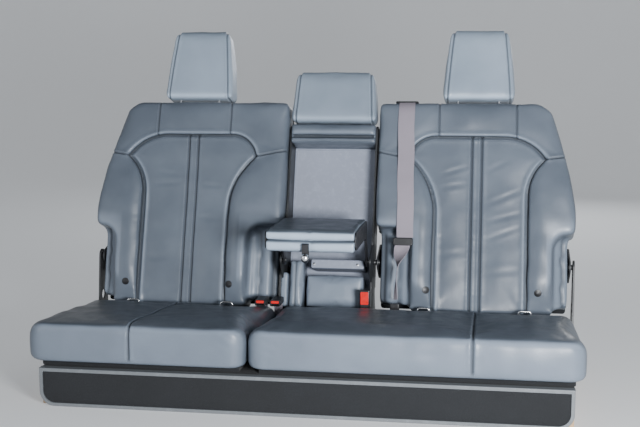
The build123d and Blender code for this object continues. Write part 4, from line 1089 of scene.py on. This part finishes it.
class Cover:
    """A finished cover that fittings are laid onto."""

    def __init__(self, piece):
        self.tree = BVHTree.FromPolygons(
            [v.co for v in piece.data.vertices], [p.vertices[:] for p in piece.data.polygons]
        )
        self.upright = LEAN.inverted()

    def front(self, x, s):
        """How far the cover stands out at a place on the back."""
        hit = self.tree.ray_cast(LEAN @ Vector((x, s, 0.2)), -OUT_BACK)[0]
        return -0.05 if hit is None else (self.upright @ hit).z

    def seat(self, x, s):
        """A place on the cover whose z points straight out of it."""
        hit, normal, _, _ = self.tree.ray_cast(LEAN @ Vector((x, s, 0.2)), -OUT_BACK)
        return Matrix.Translation(hit) @ normal.to_track_quat("Z", "Y").to_matrix().to_4x4()


def taut_line(rows):
    """A strap pulled tight down over (s, n) rows: it bridges every hollow."""
    line = []
    for s, n in rows:
        while len(line) > 1:
            (s0, n0), (s1, n1) = line[-2:]
            if (n1 - n0) * (s - s0) < (s1 - s0) * (n - n0):
                break
            line.pop()
        line.append((s, n))
    return line


def even_rows(corners, spacing):
    """Points at an even spacing along a run of corners."""
    corners = np.array(corners, float)
    lengths = np.linalg.norm(np.diff(corners, axis=0), axis=1)
    travelled = np.concatenate([[0], np.cumsum(lengths)])
    stops = np.linspace(0, travelled[-1], ceil(travelled[-1] / spacing) + 1)
    return np.stack([np.interp(stops, travelled, column) for column in corners.T], axis=1)


def strap(name, rows):
    """Webbing through its cross-sections: (middle, half width) rows from top to bottom."""
    bm = bmesh.new()
    last = len(rows) - 1
    bmesh.ops.create_grid(bm, x_segments=6, y_segments=last, size=1.0)
    for vert in bm.verts:
        middle, half = rows[round((1 - vert.co.y) / 2 * last)]
        vert.co = middle + half * vert.co.x
    bmesh.ops.transform(bm, matrix=LEAN, verts=bm.verts)
    piece = new_piece(name, bm)
    thickness = piece.modifiers.new("thickness", "SOLIDIFY")
    thickness.thickness = BELT_THICK
    thickness.offset = 0.0
    baked(piece)
    return piece


def make_shoulder_belt(cover):
    """The webbing from its slot in the back's top, pulled down over the yoke and bolster."""
    rows = [(BEZEL_TOP + 0.0045, BELT_SLOT_N)]
    for s in np.arange(BACK_TOP - 0.004, TONGUE_TOP, -0.006):
        front = max(cover.front(BELT_X + x, s) for x in (-0.020, -0.010, 0, 0.010, 0.020))
        rows.append((s, front + 0.0022))
    rows.append((TONGUE_TOP + 0.001, 0.0395))
    path = even_rows([(BACK_TOP, BELT_SLOT_N)] + taut_line(rows), 0.005)
    for _ in range(6):
        path[1:-1] = path[1:-1] * 0.5 + (path[:-2] + path[2:]) * 0.25
    half = BELT_WIDTH / 2
    sections = []
    for index, (s, n) in enumerate(path):
        slant = (BELT_LOW_X - BELT_X) * (BACK_TOP - s) / (BACK_TOP - TONGUE_TOP)
        middle = Vector((BELT_X + slant + 0.0008 * sin(index * 0.21), s, n))
        sections.append((middle, Vector((half, 0, 0.0012 * sin(index * 0.13 + 1.0)))))
    dressed(strap("shoulder_belt", sections), "back_right", "webbing", "belt_webbing")


def make_belt_tail():
    """The lower webbing, twisted edge-on between the tongue and its small buckle."""
    top = Vector((TONGUE_X, TONGUE_LOW + 0.003, 0.0385))
    low = Vector((0.203, 0.016, 0.034))
    sections = []
    for share in np.linspace(0, 1, 34):
        turned = soft_step(share, 0.0, 0.45) * (1 - 0.35 * soft_step(share, 0.6, 1.0))
        turn = radians(84) * turned
        bow = 0.006 * sin(pi * share)
        middle = top.lerp(low, share) + Vector((-bow, 0, bow))
        width = BELT_WIDTH / 2 * (0.92 - 0.50 * soft_step(share, 0.35, 0.9))
        sections.append((middle, Vector((cos(turn), 0, sin(turn))) * width))
    dressed(strap("belt_lower_tail", sections), "back_right", "webbing", "belt_tail")


# Small fittings

def disc(bm, radius, depth, place, edge=0.0008, segments=32):
    """A round button with a softened rim, standing on a place along its own z."""
    middle = place @ Matrix.Translation((0, 0, depth / 2))
    made = bmesh.ops.create_cone(
        bm,
        cap_ends=True,
        segments=segments,
        radius1=radius,
        radius2=radius,
        depth=depth,
        matrix=middle,
    )
    rim = {e for v in made["verts"] for e in v.link_edges if e.calc_face_angle(0) > 1.0}
    ease_edges(bm, rim, edge, 2)


def facing(x, s, n):
    """A place on the back whose z points out towards the sitter."""
    return LEAN @ Matrix.Translation((x, s, n))


def make_marker_buttons(side, sign, cover):
    """Dark round markers that show where the child-seat anchors are."""
    bm = bmesh.new()
    for x in MARKER_X:
        place = cover.seat(sign * x, MARKER_S) @ Matrix.Translation((0, 0, -0.0012))
        disc(bm, 0.0105, 0.0026, place)
        disc(bm, 0.0068, 0.0036, place)
    piece = placed(new_piece(f"anchor_markers_{side}", bm))
    dressed(piece, f"back_{side}", "black_plastic")


def make_cover_screws():
    """The two screws of the armrest's hinge cover."""
    bm = bmesh.new()
    for x in (-0.038, 0.0885):
        disc(bm, 0.004, 0.0016, facing(x, 0.114, 0.0178), 0.0006, 24)
    piece = placed(new_piece("hinge_cover_screws", bm))
    dressed(piece, "base", "bright_steel")


def make_latch_knob():
    """The bright knob at the low end of the armrest's latch."""
    low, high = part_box("armrest_latch")
    bm = bmesh.new()
    bmesh.ops.create_uvsphere(bm, u_segments=32, v_segments=20, radius=1.0)
    bmesh.ops.scale(bm, vec=(0.0105, 0.0085, 0.0125), verts=bm.verts)
    middle = Vector(((low.x + high.x) / 2, low.y - 0.004, low.z + 0.010))
    bmesh.ops.translate(bm, vec=middle, verts=bm.verts)
    dressed(placed(new_piece("armrest_latch_knob", bm)), "armrest", "bright_steel")


def make_recess_cover():
    """The recess behind the armrest: a flat panel inside a raised welt."""
    node = "centre_recess_panel"
    corners = np.array([(LEAN.inverted() @ v.co)[:] for v in NODES[node].data.vertices])
    low, high = Vector(corners.min(axis=0)), Vector(corners.max(axis=0))
    welt = 0.003
    high.z += welt
    bm = box_between(low, high)
    front = max(bm.faces, key=lambda f: f.calc_center_median().z)
    bmesh.ops.inset_region(bm, faces=[front], thickness=0.0065)
    bmesh.ops.inset_region(bm, faces=[front], thickness=0.002, depth=-welt)
    ease_edges(bm, bm.edges, 0.0008, 3)
    piece = placed(new_piece("centre_recess_cover", bm), LEAN)
    dressed(piece, "base", "grey_plastic", node)


# Floor, lights and camera

def make_stage():
    """A round cyclorama: a pale floor that curves up into an evenly lit wall."""
    flat, radius, height = 5.0, 2.5, 6.0
    bm = bmesh.new()
    turns = [radians(a) for a in range(0, 91, 6)]
    curve = [(flat + radius * sin(a), radius - radius * cos(a)) for a in turns]
    outline = [(0.0, 0.0), (1.0, 0.0), (2.5, 0.0)] + curve + [(flat + radius, height)]
    verts = [bm.verts.new((x, 0, z)) for x, z in outline]
    edges = [bm.edges.new(pair) for pair in zip(verts, verts[1:])]
    bmesh.ops.spin(
        bm,
        geom=verts + edges,
        axis=(0, 0, 1),
        cent=(0, 0, 0),
        angle=2 * pi,
        steps=72,
        use_merge=True,
    )
    bmesh.ops.remove_doubles(bm, verts=bm.verts, dist=1e-4)
    floor = placed(new_piece("studio_floor", bm))
    finish = Finish("studio_floor")
    finish.colour(finish.blend(finish.noise(0.8, 3.0), (0.60, 0.61, 0.62), (0.65, 0.66, 0.67)))
    finish.set(Roughness=0.85, Emission_Color=(0.93, 0.96, 1.0, 1), Emission_Strength=0.26)
    floor.data.materials.append(finish.material)
    floor.location.z = -0.0005


def area_light(name, place, target, size, power, tone=(1, 1, 1)):
    data = bpy.data.lights.new(name, "AREA")
    data.shape = "RECTANGLE"
    data.size, data.size_y = size
    data.energy = power
    data.color = tone
    light = bpy.data.objects.new(name, data)
    light.location = place
    light.rotation_euler = (Vector(target) - Vector(place)).to_track_quat("-Z", "Y").to_euler()
    light.visible_camera = False
    scene.collection.objects.link(light)


def make_lights():
    cool = (0.95, 0.975, 1.0)
    area_light("key", (1.05, -2.3, 0.60), (0.1, 0, 0.45), (0.55, 0.42), 104, cool)
    area_light("fill", (-2.2, -2.4, 0.9), (0, 0, 0.45), (1.2, 1.0), 14, cool)
    area_light("rim", (1.2, 2.8, 2.2), (0, 0.1, 0.6), (2.4, 1.2), 5, cool)
    area_light("rear", (0.4, 4.0, 1.7), (0, 0.2, 0.4), (2.4, 1.4), 42, cool)
    world = bpy.data.worlds.new("studio")
    scene.world = world
    world.use_nodes = True
    world.node_tree.nodes["Background"].inputs["Color"].default_value = (0.80, 0.83, 0.87, 1)
    world.node_tree.nodes["Background"].inputs["Strength"].default_value = 0.05


def make_camera():
    data = bpy.data.cameras.new("camera")
    data.lens = 62
    data.sensor_width = 36
    camera = bpy.data.objects.new("camera", data)
    place = Vector((0.4588, -3.0990, 0.8551))
    target = Vector((-0.003, -0.10, 0.462))
    camera.location = place
    camera.rotation_euler = (target - place).to_track_quat("-Z", "Y").to_euler()
    scene.collection.objects.link(camera)
    scene.camera = camera


finish_cad_nodes()
left_back, right_back = make_backs()
make_cushion("left", -CUSHION_SEAM_X, seed=3)
make_cushion("right", CUSHION_SEAM_X, seed=4)
make_headrest("left", 0.17, seed=11)
make_headrest("right", 0.17, seed=12)
# The centre headrest is painted darker all over, as painted shade.
make_headrest("centre", 0.07, seed=13, painted_shade=0.28)
make_column_pads()
make_gaiter()
make_armrest()
make_shoulder_belt(Cover(right_back))
make_belt_tail()
make_marker_buttons("left", -1, Cover(left_back))
make_marker_buttons("right", 1, Cover(right_back))
make_cover_screws()
make_latch_knob()
make_recess_cover()
make_stage()
make_lights()
make_camera()
